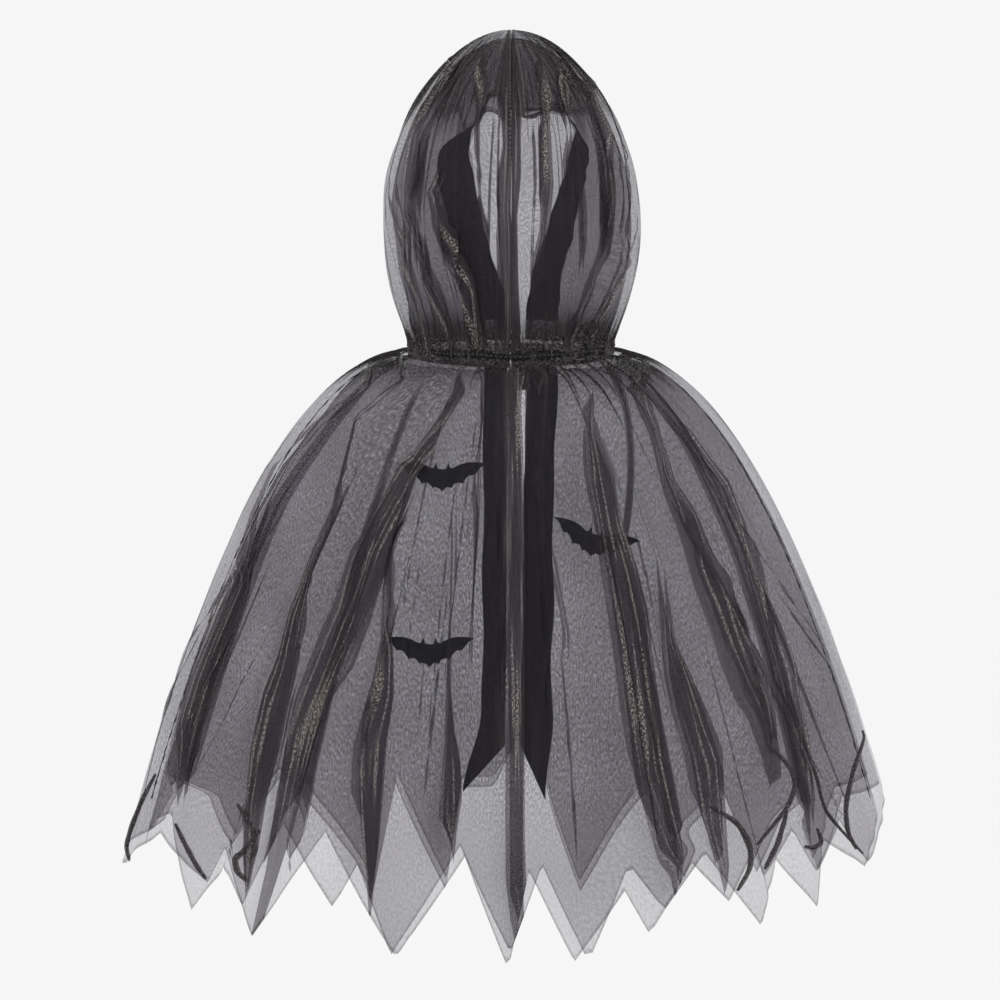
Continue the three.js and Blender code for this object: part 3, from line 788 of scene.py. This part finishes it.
def back_layer(layer, hem, inset, seed, side_insets, creases, widen, move, rolls=()):
    rows = layer_rows(BACK_ROWS)[:, None]
    level = FIRST_DROP + rows[:, 0] * LONGEST
    half_width = cape_half_width(level)
    centres, widths = pleat_tracks(BACK_PLEATS[::-1], level, half_width, widen, move)
    edge = np.full(BACK_ROWS, RIGHT_ANGLE * 0.998)
    turn, lift, flat, top = pleated_turns(BACK_COLUMNS, -edge, edge, centres, widths, half_width)
    drop = FIRST_DROP + rows * hem_drop(hem, turn, BACK_SIDE_DROPS[layer])
    extra = np.where(turn > 0, side_insets[0], side_insets[1]) * near_side(turn, drop)
    points, normal, thick = cape_cloth(turn, drop, lift, inset + extra, creases, seed)
    thick = thick * np.where(rows > CUT_EDGE, FRAYED, 1.0) * (1 + FOLD_CROWDING * top)
    uv = joined(flat[None, :] * BACK_WEAVE_WIDTH, -drop)
    rolled = [rolled_edge(*roll) for roll in rolls]
    return grid_sheet(f"back_{layer}_cloth", points, normal, uv, SHEER, thick, top, rolled)


def front_turns(side, edge_x, drop, share):
    """Turns across a front panel, from the side seam (share 0) to the front edge (share 1)."""
    edge = side * math.pi - np.arcsin(edge_x / cape_half_width(drop))
    return side * RIGHT_ANGLE * 1.002 + share * (edge - side * RIGHT_ANGLE)


def mirror_turn(turn):
    """The turn on the back that is seen at the same x as a turn on the front."""
    return np.sign(turn) * math.pi - turn


FRONT_SIDE_DROPS = (0.50, 0.43)
FRONT_SWING = 0.003  # height of the slow waves of the front


def front_layer(name, side, hem, inset, seed, folds, side_inset, shorter):
    share = np.linspace(0, 1, FRONT_COLUMNS)[None, :]
    rows = layer_rows(FRONT_ROWS)[:, None]
    edge_x = SLIT_X + side * SLIT_HALF_WIDTH
    even = front_turns(side, edge_x, np.full_like(share, 0.4), share)
    seen = mirror_turn(even)
    bottom = hem_drop(hem, seen, FRONT_SIDE_DROPS) - shorter
    near_edge = smooth(0.0, 0.03, np.abs(cape_half_width(np.array(0.42)) * np.sin(seen) - edge_x))
    bottom = FRONT_EDGE_DROP + (bottom - FRONT_EDGE_DROP) * near_edge
    drop = FIRST_DROP + rows * bottom
    turn = front_turns(side, edge_x, drop, share)
    shift, lift = fold_shift(folds, mirror_turn(turn), drop, cape_half_width(drop))
    swing = wander(seed, 24, 9)
    amount = np.exp(-np.square(drop / gather_length(turn, seed)))
    pull, rise = gathers(turn, NECK_GATHERS, seed + 2, amount, cape_half_width(drop))
    lift = lift + FRONT_SWING * smooth(0.05, 0.35, drop) * swing(turn, drop) + rise
    free = smooth(0.0, 0.05, 1 - share)
    placed = turn + (pull - shift) * free
    normal = outward_normals(cape_surface, placed, drop)
    inset = inset + side_inset * near_side(turn, drop)
    points = cape_surface(placed, drop) + normal * (lift * free - inset)[..., None]
    thick = (1 + NECK_CROWDING * np.exp(-drop / CROWDING_REACH)) * np.where(rows > CUT_EDGE, FRAYED, 1.0)
    uv = joined(share * FRONT_WEAVE_WIDTH, -drop)
    return grid_sheet(name, points, normal, uv, SHEER, thick)


def stand_for(piece, node, body=None):
    """Take a CAD node's place, and ride on a body unless the piece is blended between two."""
    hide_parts(node)
    if body:
        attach(piece, body)


back_outer = back_layer("outer", BACK_OUTER_HEM, 0.0, 11, (0.0, 0.0), BACK_CREASES, 0.96, -0.001, OUTER_ROLLS)
back_inner = back_layer("inner", BACK_INNER_HEM, LAYER_SPACING, 31, (0.009, 0.001), INNER_CREASES, 1.1, 0.002)
stand_for(back_outer, "back_outer_layer", "cape_back")
stand_for(back_inner, "back_inner_layer", "cape_back")

SIDES = {1: "left", -1: "right"}
FRONTS = {1: (LEFT_FRONT_HEM, LEFT_FRONT_FOLDS, 0.009), -1: (RIGHT_FRONT_HEM, RIGHT_FRONT_FOLDS, 0.001)}
INNER_SHORTER = 0.012  # how much shorter the inner layer of a front is

for side, (hem, folds, side_inset) in FRONTS.items():
    word = SIDES[side]
    inner = ("inner", LAYER_SPACING, INNER_SHORTER, side_inset)
    for layer, inset, shorter, extra in (("outer", 0.0, 0.0, 0.0), inner):
        seed = 50 + 7 * side + len(layer + word)
        piece = front_layer(f"{word}_front_{layer}_cloth", side, hem, inset, seed, folds, extra, shorter)
        stand_for(piece, f"{word}_front_{layer}_layer")
        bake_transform(piece)

# The satin facings down the front edges: the x of each one's inner and outer edge at the top and the bottom,
# the x of its point, and the drops of the two corners of its end
FACINGS = {
    1: {"inner": (0.003, 0.006), "outer": (0.028, 0.030), "tip": 0.050, "ends": (0.398, 0.446)},
    -1: {"inner": (-0.016, -0.010), "outer": (-0.047, -0.041), "tip": -0.036, "ends": (0.398, 0.455)},
}
FACING_TOP = 0.006


def between(pair, share):
    return pair[0] + (pair[1] - pair[0]) * share


def facing_band(side):
    shape = FACINGS[side]
    rows = np.linspace(0, 1, 120)[:, None]
    share = np.linspace(0, 1, 14)[None, :]
    drop = between((FACING_TOP, between(shape["ends"], share)), rows)
    inner = between(shape["inner"], rows) + 0.0010 * wander(79 + side, 0, 34)(0, rows)
    outer = between(shape["outer"], rows)
    outer = between((outer, shape["tip"]), smooth(0.80, 1.0, rows))
    outer = outer + 0.0022 * wander(83 + side, 0, 30)(0, rows)
    x = between((inner, outer), share)
    turn = side * math.pi - np.arcsin(x / cape_half_width(drop))
    crease = wander(77 + side, 300, 22)
    normal = outward_normals(cape_surface, turn, drop)
    points = cape_surface(turn, drop) - normal * (LINING_INSET + 0.0012 * crease(turn, drop))[..., None]
    return grid_sheet(f"{SIDES[side]}_front_facing_satin", points, normal, joined(x, -drop), SATIN)


for side, word in SIDES.items():
    piece = facing_band(side)
    stand_for(piece, f"{word}_front_facing_band")
    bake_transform(piece)

# The bats: plain silhouettes cut from flocked fabric, lying between the two back layers

BAT_SPAN = 0.09
BAT_TOP = [(0, 0.07), (0.045, 0.075), (0.067, 0.15), (0.09, 0.085), (0.125, 0.085), (0.20, 0.125),
           (0.29, 0.15), (0.40, 0.15), (0.5, 0.135)]
BAT_SCALLOPS = [((0.5, 0.135), (0.41, 0.10), (0.36, 0.0)), ((0.36, 0.0), (0.28, 0.03), (0.225, -0.10)),
                ((0.225, -0.10), (0.16, -0.05), (0.10, -0.145)), ((0.10, -0.145), (0.05, -0.11), (0, -0.185))]
BATS = {"bat_patch_upper_left": 0.0, "bat_patch_lower_left": 0.0, "bat_patch_right": math.radians(16)}


def bat(node, tilt):
    low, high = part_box(node)
    centre_x = (low.x + high.x) / 2
    centre_drop = -(low.z + high.z) / 2
    top_x, top_z = zip(*BAT_TOP)
    under = []
    for start, bend, end in BAT_SCALLOPS:
        for t in np.linspace(0, 1, 7):
            weights = ((1 - t) ** 2, 2 * t * (1 - t), t * t)
            under.append([weights[0] * start[k] + weights[1] * bend[k] + weights[2] * end[k] for k in (0, 1)])
    under = np.array(sorted(under))
    x = np.linspace(-0.5, 0.5, 141)[None, :]
    share = np.linspace(0, 1, 9)[:, None]
    upper = np.interp(np.abs(x), top_x, top_z)
    lower = np.interp(np.abs(x), under[:, 0], under[:, 1])
    fray = wander(91, 160, 0)(x, 0) * 0.006
    z = (lower + fray) * (1 - share) + (upper + 0.004 * wander(92, 190, 0)(x, 0)) * share
    across = (x * math.cos(tilt) - z * math.sin(tilt)) * BAT_SPAN
    up = (x * math.sin(tilt) + z * math.cos(tilt)) * BAT_SPAN
    drop = centre_drop - up
    turn = np.arcsin((centre_x + across) / cape_half_width(drop))
    normal = outward_normals(cape_surface, turn, drop)
    wave = 0.0006 * wander(93, 60, 50)(turn, drop)
    points = cape_surface(turn, drop) - normal * (TRIM_INSET + wave)[..., None]
    uv = joined(across, up)
    return grid_sheet(node.replace("patch", "flock"), points, normal, uv, FLOCK)


for node, tilt in BATS.items():
    piece = bat(node, tilt)
    stand_for(piece, node, "cape_back")

# The hood

CROWN_TAPER = 0.14  # how much narrower the cloth lies near the crown
NECK_TILT_REACH = 0.05  # how far up the hood the neck's tilt fades out


def hood_section(height):
    low = np.clip((HOOD_WIDEST - height) / (HOOD_WIDEST - HOOD_BASE), 0, 1)
    high = np.clip((height - HOOD_WIDEST) / (HOOD_TOP - HOOD_WIDEST), 0, 1)
    rounding = np.sqrt(np.maximum(0, 1 - high * high)) * (1 - CROWN_TAPER * np.power(high, 2.6))
    half_width = (HOOD_HALF_WIDTH - (HOOD_HALF_WIDTH - HOOD_BASE_HALF_WIDTH) * low * low) * rounding
    half_depth = (HOOD_HALF_DEPTH - (HOOD_HALF_DEPTH - NECK_HALF_DEPTH) * low * low) * rounding
    return half_width, half_depth, HOOD_LEAN * (1 - low * low)


def hood_surface(turn, height):
    half_width, half_depth, lean = hood_section(height)
    tilt = NECK_TILT * np.cos(turn) * np.exp(-(height - HOOD_BASE) / NECK_TILT_REACH)
    return joined(half_width * np.sin(turn), lean + half_depth * np.cos(turn), height - tilt)


# The face opening's edge on each side, as it hangs: millimetres (x, height) from the neck to the brow
OPENING = {
    1: metres([(4, 12.6), (8, 64), (18, 89), (36, 158), (45, 225), (34, 242), (0, 250)]),
    -1: metres([(14, 12.6), (16, 35), (24, 87), (35, 118), (55, 180), (70, 232), (56, 246), (0, 250)]),
}


def smooth_edge(side, height):
    """How far the face opening's edge is from the middle at a height: smooth between the outline's points."""
    edge_x, edge_z = (np.array(column) for column in zip(*OPENING[side]))
    fine = np.linspace(0, len(edge_z) - 1, 400)
    index = np.arange(len(edge_z))
    z = np.interp(fine, index, edge_z)
    x = np.interp(fine, index, edge_x)
    kernel = np.hanning(61)
    kernel = kernel / kernel.sum()
    pad = 30
    x = np.convolve(np.pad(x, pad, mode="edge"), kernel, mode="valid")
    z = np.convolve(np.pad(z, pad, mode="edge"), kernel, mode="valid")
    return np.interp(height, z, x)


def face_turn(x, height):
    half_width = hood_section(height)[0]
    return math.pi - np.arcsin(np.minimum(1, x / np.maximum(half_width, 1e-6)))


# Pleats of the hood's back, from the middle outwards: millimetres (height, distance from it, width)
HOOD_PLEATS = {
    1: metres([
        [(30, 6, 13), (110, 7.5, 17), (140, 8, 15), (200, 4, 9), (240, 5, 10), (310, 2, 3)],
        [(50, 16, 7), (90, 22, 6), (130, 28, 5), (190, 34, 5), (225, 35, 6), (280, 30, 8)],
        [(20, 34, 12), (60, 42, 20), (90, 56, 24), (120, 69, 20), (155, 78, 10), (200, 60, 0),
         (280, 42, 0)],
        [(15, 60, 8), (53, 74, 8), (109, 96, 8), (142, 106, 7), (220, 92, 10), (270, 62, 8)],
        [(15, 83, 6), (71, 101, 6), (118, 112, 6), (153, 121, 5)],
    ]),
    -1: metres([
        [(30, 4, 8), (130, 3, 6), (170, 5, 10), (240, 5, 10), (310, 2, 3)],
        [(40, 18, 6), (80, 26, 8), (120, 33, 10), (160, 37, 11), (240, 34, 9), (280, 28, 6)],
        [(190, 55, 4), (235, 58, 7), (270, 50, 9)],
        [(20, 60, 6), (42, 71, 6), (98, 91, 5), (131, 98, 12), (215, 96, 12), (250, 82, 6)],
        [(20, 78, 7), (53, 100, 7), (87, 117, 4)],
    ]),
}

HOOD_CREASES = {
    1: thin_creases(81, 20, (0.05, 0.9), (0.02, 0.14), (0.08, 0.20), (0.0020, 0.0045), (-0.1, 0.35)),
    -1: thin_creases(82, 16, (0.05, 0.9), (0.02, 0.14), (0.08, 0.20), (0.0020, 0.0045), (-0.1, 0.35)),
}
HOOD_TUCK = 0.0140  # how far the cloth reaches down behind the binding
HOOD_ROWS = 150
HOOD_COLUMNS = 540
HOOD_WEAVE_WIDTH = 0.36
CROWN_GATHERS = 40
HOOD_BASE_GATHERS = 58
HOOD_SWING = 0.0016
HOOD_CRUMPLE = 0.0009
BACK_ENDS = (1.45, 1.56)  # the turns between which the creases of the hood's back stop
CROWN_STARTS = (0.215, 0.262)  # the heights between which the crown's gathers come in
THINNEST = 0.004  # the least half-width that the hood's folds are worked out for


def hood_cloth(turn, height, lift, inset, side, seed):
    """Points of one hood layer, the plain surface's normals there, and how thickly its threads lie."""
    half_width = np.maximum(hood_section(height)[0], THINNEST)
    seen = np.where(turn <= RIGHT_ANGLE, turn, 3.0)
    shift, small_lift = fold_shift(HOOD_CREASES[side], seen, height, half_width)
    on_back = 1 - smooth(*BACK_ENDS, turn)
    crown = smooth(*CROWN_STARTS, height + 0.016 * wander(seed + 4, 22, 0)(turn, 0))
    reach = 0.8 * gather_length(-turn, seed)
    base = np.exp(-np.square((height - HOOD_BASE) / reach))
    pull_up, rise_up = gathers(turn, CROWN_GATHERS, seed + 1, crown, half_width)
    pull_down, rise_down = gathers(turn, HOOD_BASE_GATHERS, seed + 7, base, half_width)
    swing = wander(seed + 2, 12, 30)
    crumple = wander(seed + 9, 46, 80, count=9)
    lift = lift + small_lift * on_back + rise_up + rise_down + HOOD_SWING * swing(turn, height) * (1 - crown)
    lift = lift + HOOD_CRUMPLE * crumple(turn, height) * np.minimum(1, half_width / 0.06)
    away = smooth(0.0, 0.03, turn) * smooth(0.0, 0.05, math.pi - turn)
    placed = side * (turn + (shift * on_back + pull_up + pull_down) * away)
    normal = outward_normals(hood_surface, placed, height, HOOD_WIDEST)
    points = hood_surface(placed, height) + normal * (lift - inset)[..., None]
    thick = 1 + 1.8 * np.exp(-(height - HOOD_BASE) / 0.014) + 0.6 * crown
    return points, normal, thick


def hood_panel(name, side, inset, seed, side_inset):
    climb = np.linspace(0, 1, HOOD_ROWS)
    low = HOOD_BASE - HOOD_TUCK
    level = low + (HOOD_TOP - low - 0.0001) * np.sin(climb * RIGHT_ANGLE)
    half_width = np.maximum(hood_section(level)[0], THINNEST)
    centres, widths = pleat_tracks(HOOD_PLEATS[side], level, half_width)
    widths = np.minimum(widths, 0.5)
    ends = np.where(level < BROW_HEIGHT, face_turn(smooth_edge(side, level), level), math.pi)
    starts = np.full(HOOD_ROWS, 0.002)
    turn, lift, flat, top = pleated_turns(HOOD_COLUMNS, starts, ends, centres, widths, half_width)
    height = level[:, None] + 0 * turn
    at_side = np.power(np.abs(np.sin(turn)), 8) * smooth(0.02, 0.05, height)
    at_side = at_side * (1 - smooth(0.10, 0.16, height))
    at_brow = smooth(2.3, 2.6, turn) * smooth(0.20, 0.235, height) * (1 - smooth(0.25, 0.29, height))
    height = height + 0.016 * at_brow * wander(seed + 11, 15, 0)(turn, 0)
    points, normal, thick = hood_cloth(turn, height, lift, inset + side_inset * at_side, side, seed)
    uv = joined(flat[None, :] * HOOD_WEAVE_WIDTH, height)
    return grid_sheet(name, points, normal, uv, HOOD_SHEER, thick, top)


for side, word in SIDES.items():
    for layer, node, inset in (("outer", "outer_panel", 0.0), ("lining", "lining", LAYER_SPACING)):
        side_inset = 0.006 if node == "lining" and side > 0 else 0.0
        piece = hood_panel(f"hood_{word}_{layer}_cloth", side, inset, 120 + len(layer) + 5 * side, side_inset)
        stand_for(piece, f"hood_{word}_{node}")
        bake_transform(piece)


BAND_SLANT = 0.022  # how much lower the outer corner of a face band ends than the inner one
BAND_START = 0.004  # how far above the hood's base the face bands and the centre seam begin
FACE_WIDTHS = {1: (0.036, 0.036, 0.038, 0.030), -1: (0.034, 0.029, 0.022, 0.012)}  # from the neck up


def face_band(name, side):
    """The facing along the face opening: a strip laid beside the edge."""
    along = np.linspace(0.02, 1, 150)[:, None]
    across = np.linspace(0, 1, 12)[None, :]
    height = HOOD_BASE + BAND_START + (BROW_HEIGHT - 0.012 - HOOD_BASE) * along
    x = smooth_edge(side, height)
    height = height - BAND_SLANT * across * smooth(0.6, 1.0, along)
    width = np.interp(along, [0, 0.5, 0.75, 1.0], FACE_WIDTHS[side])
    place = np.abs(x + width * across + 0.0015 * wander(140 + side, 2, 60)(across, along))
    turn = side * face_turn(place, height)
    crease = wander(150 + side, 80, 120)
    normal = outward_normals(hood_surface, turn, height + 0 * across, HOOD_WIDEST)
    points = hood_surface(turn, height + 0 * across)
    points = points - normal * (TRIM_INSET + 0.0010 * crease(turn, height))[..., None]
    uv = joined(place, height)
    return grid_sheet(name, points, normal, uv, FACE_SATIN)


for side, word in SIDES.items():
    piece = face_band(f"hood_{word}_face_satin", side)
    stand_for(piece, f"hood_{word}_face_band")
    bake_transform(piece)

# The centre seam of the hood, with its stitches


def centre_line(share):
    """Points and normals along the middle of the hood, from the back of the neck over the crown."""
    height_rise = HOOD_TOP - HOOD_WIDEST
    rise = 0.36
    t = np.clip(share / rise, 0, 1)
    low_height = HOOD_BASE + BAND_START + (HOOD_WIDEST - HOOD_BASE - BAND_START) * t
    _, depth, lean = hood_section(low_height)
    arc = RIGHT_ANGLE + math.acos((BROW_HEIGHT - HOOD_WIDEST) / height_rise) - 0.25
    over = (share - rise) / (1 - rise) * arc
    y = np.where(share < rise, lean + depth, HOOD_LEAN + HOOD_HALF_DEPTH * np.cos(over))
    tilt = NECK_TILT * np.exp(-(low_height - HOOD_BASE) / NECK_TILT_REACH)
    z = np.where(share < rise, low_height - tilt, HOOD_WIDEST + height_rise * np.sin(over))
    return joined(0, y, z)


TAPE_PUCKER = 0.0006


def tape_along(name, line, heart, width_vector, half_width, material, depth, seed):
    """A tape along a line, `depth` inside it, on the side of the point `heart`; and the tape's length."""
    share = np.linspace(0, 1, 240)
    places = line(share)
    tangent = unit(np.gradient(places, axis=0))
    outward = unit(np.cross(tangent, np.broadcast_to(width_vector, tangent.shape)))
    away = places - np.array(heart)
    outward = outward * np.where((outward * away).sum(-1) < 0, -1, 1)[:, None]
    across = np.linspace(-1, 1, 7)
    wave = wander(seed, 5, 220)
    lift = TAPE_PUCKER * wave(across[None, :], share[:, None]) - depth + 0.0005 * (1 - across[None, :] ** 2)
    points = places[:, None, :] + across[None, :, None] * half_width * np.array(width_vector)[None, None, :]
    points = points + outward[:, None, :] * lift[..., None]
    length = np.concatenate([[0], np.cumsum(np.linalg.norm(np.diff(places, axis=0), axis=1))])
    uv = joined(across[None, :] * half_width, length[:, None])
    normal = np.broadcast_to(outward[:, None, :], points.shape)
    return grid_sheet(name, points, normal, uv, material), float(length[-1])


centre_seam, centre_length = tape_along("hood_centre_seam_tape", centre_line, (0, 0, 0.12), (1, 0, 0), 0.004,
                                        HOOD_SHEER, 0.0042, 160)
stand_for(centre_seam, "hood_centre_seam")
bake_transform(centre_seam)


def side_line(side):
    def line(share):
        drop = 0.006 + 0.44 * share
        points = cape_surface(np.full_like(drop, side * RIGHT_ANGLE * 0.985), drop)
        inward = unit(points * np.array([-1, -1, 0]))
        return points + inward * LINING_INSET

    return line


for side, word in SIDES.items():
    piece, length = tape_along(f"{word}_side_seam_tape", side_line(side), (0, 0, -0.2), (0, 1, 0), 0.005,
                               SEAM, 0.0, 170 + side)
    stand_for(piece, f"{word}_side_seam", "cape_back")

# Stitches: short beads of thread along a line

STITCH_SIDES = 6
STITCH_PROFILE = [(-0.5, 0.0), (-0.42, 0.75), (0, 1.0), (0.42, 0.75), (0.5, 0.0)]
STITCH_LIFT = 0.0006


def stitches(name, points, directions, length, radius):
    """One mesh of small round-ended stitches, one at each point, along its direction."""
    ring = STITCH_SIDES
    all_points, all_faces = [], []
    for place, direction in zip(points, directions):
        direction = unit(direction)
        helper = np.array([0.0, 0.0, 1.0]) if abs(direction[2]) < 0.8 else np.array([1.0, 0.0, 0.0])
        one = unit(np.cross(direction, helper))
        two = np.cross(direction, one)
        base = sum(len(block) for block in all_points)
        block = []
        for at, size in STITCH_PROFILE:
            for k in range(ring):
                angle = math.tau * k / ring
                offset = (one * math.cos(angle) + two * math.sin(angle)) * radius * max(size, 0.02)
                block.append(place + direction * at * length + offset)
        all_points.append(np.array(block))
        for row in range(len(STITCH_PROFILE) - 1):
            for k in range(ring):
                a = base + row * ring + k
                b = base + row * ring + (k + 1) % ring
                all_faces.append((a, b, b + ring, a + ring))
        for row in (0, len(STITCH_PROFILE) - 1):
            start = base + row * ring
            all_faces.append((start, start + 1, start + 2, start + 3))
            all_faces.append((start, start + 3, start + 4, start + 5))
    points_array = np.concatenate(all_points)
    return mesh_object(name, points_array, np.array(all_faces), points_array[:, [0, 2]], THREAD)


def row_of_stitches(name, line, shares, side_step, length, radius):
    places = line(shares)
    ahead = line(shares + 1e-3)
    directions = unit(ahead - places)
    outward = unit(places * np.array([1, 1, 0.35]))
    return stitches(name, places + outward * STITCH_LIFT + np.array(side_step), directions, length, radius)


hood_stitching = row_of_stitches("hood_centre_stitching", centre_line, np.linspace(0.05, 0.97, 120),
                                 (0.0012, 0, 0), 0.0024, 0.0004)
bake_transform(hood_stitching)

# The gathered neck binding, and the stitches that hold the gathers

BINDING_HALF_HEIGHT = (NECK[1].z - NECK[0].z) / 2
BINDING_MIDDLE = (NECK[1].z + NECK[0].z) / 2
NECK_RADIUS = 0.083  # these two only set the scale of the weave on the binding
BINDING_RADIUS = 0.004
BINDING_WRAP = 0.86  # the share of a full circle that the binding goes round the seam


def neck_edge(side):
    return side * math.pi - math.asin((SLIT_X + side * SLIT_HALF_WIDTH) / NECK_HALF_WIDTH)


def neck_ring(turn, height, swell):
    x = (NECK_HALF_WIDTH + swell) * np.sin(turn)
    y = (NECK_HALF_DEPTH + swell) * np.cos(turn)
    return joined(x, y, height - NECK_TILT * np.cos(turn))


def neck_binding():
    turn = np.linspace(neck_edge(-1), neck_edge(1), 900)[None, :]
    around = np.linspace(0, math.tau * BINDING_WRAP, 18)[:, None]
    ruffle = wander(201, 90, 0.8, count=9)
    fine = wander(202, 260, 1.5, count=7)
    swell = 0.0008 + 0.0016 * np.sin(around) + 0.0016 * ruffle(turn, around) + 0.0006 * fine(turn, around)
    tall = BINDING_HALF_HEIGHT * (0.62 + 0.22 * wander(204, 21, 0)(turn, 0))
    sway = 0.0016 * wander(203, 11, 0)(turn, 0)
    height = BINDING_MIDDLE + sway - tall * np.cos(around) + 0.0012 * ruffle(turn + 0.4, around * 0.3)
    points = neck_ring(turn + 0 * around, height, swell)
    normal = unit(points * np.array([1, 1, 0]))
    uv = joined(turn * NECK_RADIUS, around * BINDING_RADIUS)
    return grid_sheet("neck_binding_satin", points, normal, uv, FACE_SATIN)


binding = neck_binding()
stand_for(binding, "neck_binding", "cape_back")


def neck_line(share):
    turn = between((neck_edge(-1), neck_edge(1)), share)
    return neck_ring(turn, BINDING_MIDDLE + 0.0016 * wander(203, 11, 0)(turn, 0), 0.0036)


neck_stitching = row_of_stitches("neck_gather_stitching", neck_line, np.linspace(0.02, 0.98, 130), (0, 0, 0),
                                 0.0022, 0.00034)
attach(neck_stitching, "cape_back")

# The blank label: two-tone woven tape, gently curled


def label_material():
    n = Nodes("woven_label")
    separate = n.add("SeparateXYZ", n.scaled_uv(1, 1))
    lower = n.math("LESS_THAN", separate.outputs[1], 0.5)
    thread = n.noise(70, 220)
    upper_color = n.ramp(thread, [(0.3, (0.05, 0.045, 0.047)), (0.7, (0.11, 0.10, 0.104))])
    lower_color = n.ramp(thread, [(0.3, (0.13, 0.125, 0.13)), (0.7, (0.24, 0.235, 0.24))])
    mix = n.add("Mix", lower)
    mix.data_type = "RGBA"
    n.put(mix.inputs[6], upper_color)
    n.put(mix.inputs[7], lower_color)
    n.bump(thread, 0.5, 0.0004)
    return n.finish(Base_Color=mix.outputs[2], Roughness=n.line(thread, 0.3, 0.5), Specular_IOR_Level=0.3)


def label_cloth():
    low, high = LABEL
    x = np.linspace(low.x, high.x, 14)[None, :]
    share = np.linspace(0, 1, 60)[:, None]
    z = high.z - (high.z - low.z) * share
    curl = 0.0014 * np.sin(share * 5.0) + 0.0008 * np.cos((x - low.x) / (high.x - low.x) * math.pi)
    outward = (low.y + high.y) / 2 + curl
    points = joined(x, outward, z)
    normal = np.broadcast_to(np.array([0.0, 1.0, 0.0]), points.shape)
    uv = joined((x - low.x) / (high.x - low.x), 1 - share)
    made = grid_sheet("neck_label_tape", points, normal, uv, label_material())
    modifier = made.modifiers.new("thickness", "SOLIDIFY")
    modifier.thickness = 0.0005
    return made


label = label_cloth()
stand_for(label, "neck_label", "label")

# The neck tab and its loop patch: rounded rectangles of hook and loop tape, their pile flattening towards a
# plain border


PATCH_ROWS = 15
PATCH_COLUMNS = 41
PILE_WAVES = (60, 24)  # how the hooks or loops follow each other across and up


def tape_patch(name, low, high, corner, pile):
    """A rounded patch facing forwards, with a dense pile of short hooks or loops on its face."""
    half_x = (high.x - low.x) / 2
    half_z = (high.z - low.z) / 2
    columns = np.linspace(-1, 1, PATCH_COLUMNS)[None, :]
    rows = np.linspace(-1, 1, PATCH_ROWS)[:, None]
    x = columns * half_x + 0 * rows
    inset = np.maximum(np.abs(x) - (half_x - corner), 0)
    reach = half_z - (corner - np.sqrt(np.maximum(corner * corner - inset * inset, 0)))
    z = rows * reach
    rim = np.minimum(smooth(0, 0.15, 1 - np.abs(rows)), smooth(0, 0.04, 1 - np.abs(columns)))
    face = pile * (0.5 + 0.5 * np.sin(columns * PILE_WAVES[0]) * np.sin(rows * PILE_WAVES[1])) * rim
    middle = ((low.x + high.x) / 2, (low.z + high.z) / 2)
    front = low.y + 0.0004 - face * 0.5
    outer, inner = (joined(x + middle[0], y, z + middle[1]).reshape(-1, 3) for y in (front, high.y))
    faces = grid_faces(PATCH_ROWS, PATCH_COLUMNS)
    count = len(outer)
    index = np.arange(count).reshape(PATCH_ROWS, PATCH_COLUMNS)
    rim_line = np.concatenate([index[0, :-1], index[:-1, -1], index[-1, :0:-1], index[:0:-1, 0]])
    following = np.roll(rim_line, -1)
    walls = np.stack([rim_line, following, following + count, rim_line + count], axis=-1)
    all_faces = np.concatenate([faces, faces[:, ::-1] + count, walls])
    points = np.concatenate([outer, inner])
    return mesh_object(name, points, all_faces, points[:, [0, 2]], HOOK_TAPE)


tab = tape_patch("neck_tab_hook_tape", *TAB, 0.003, 0.0007)
stand_for(tab, "neck_tab_hook_side", "neck_tab")
loop = tape_patch("neck_patch_loop_tape", *LOOP, 0.002, 0.0006)
stand_for(loop, "neck_patch_loop_side", "cape_back")
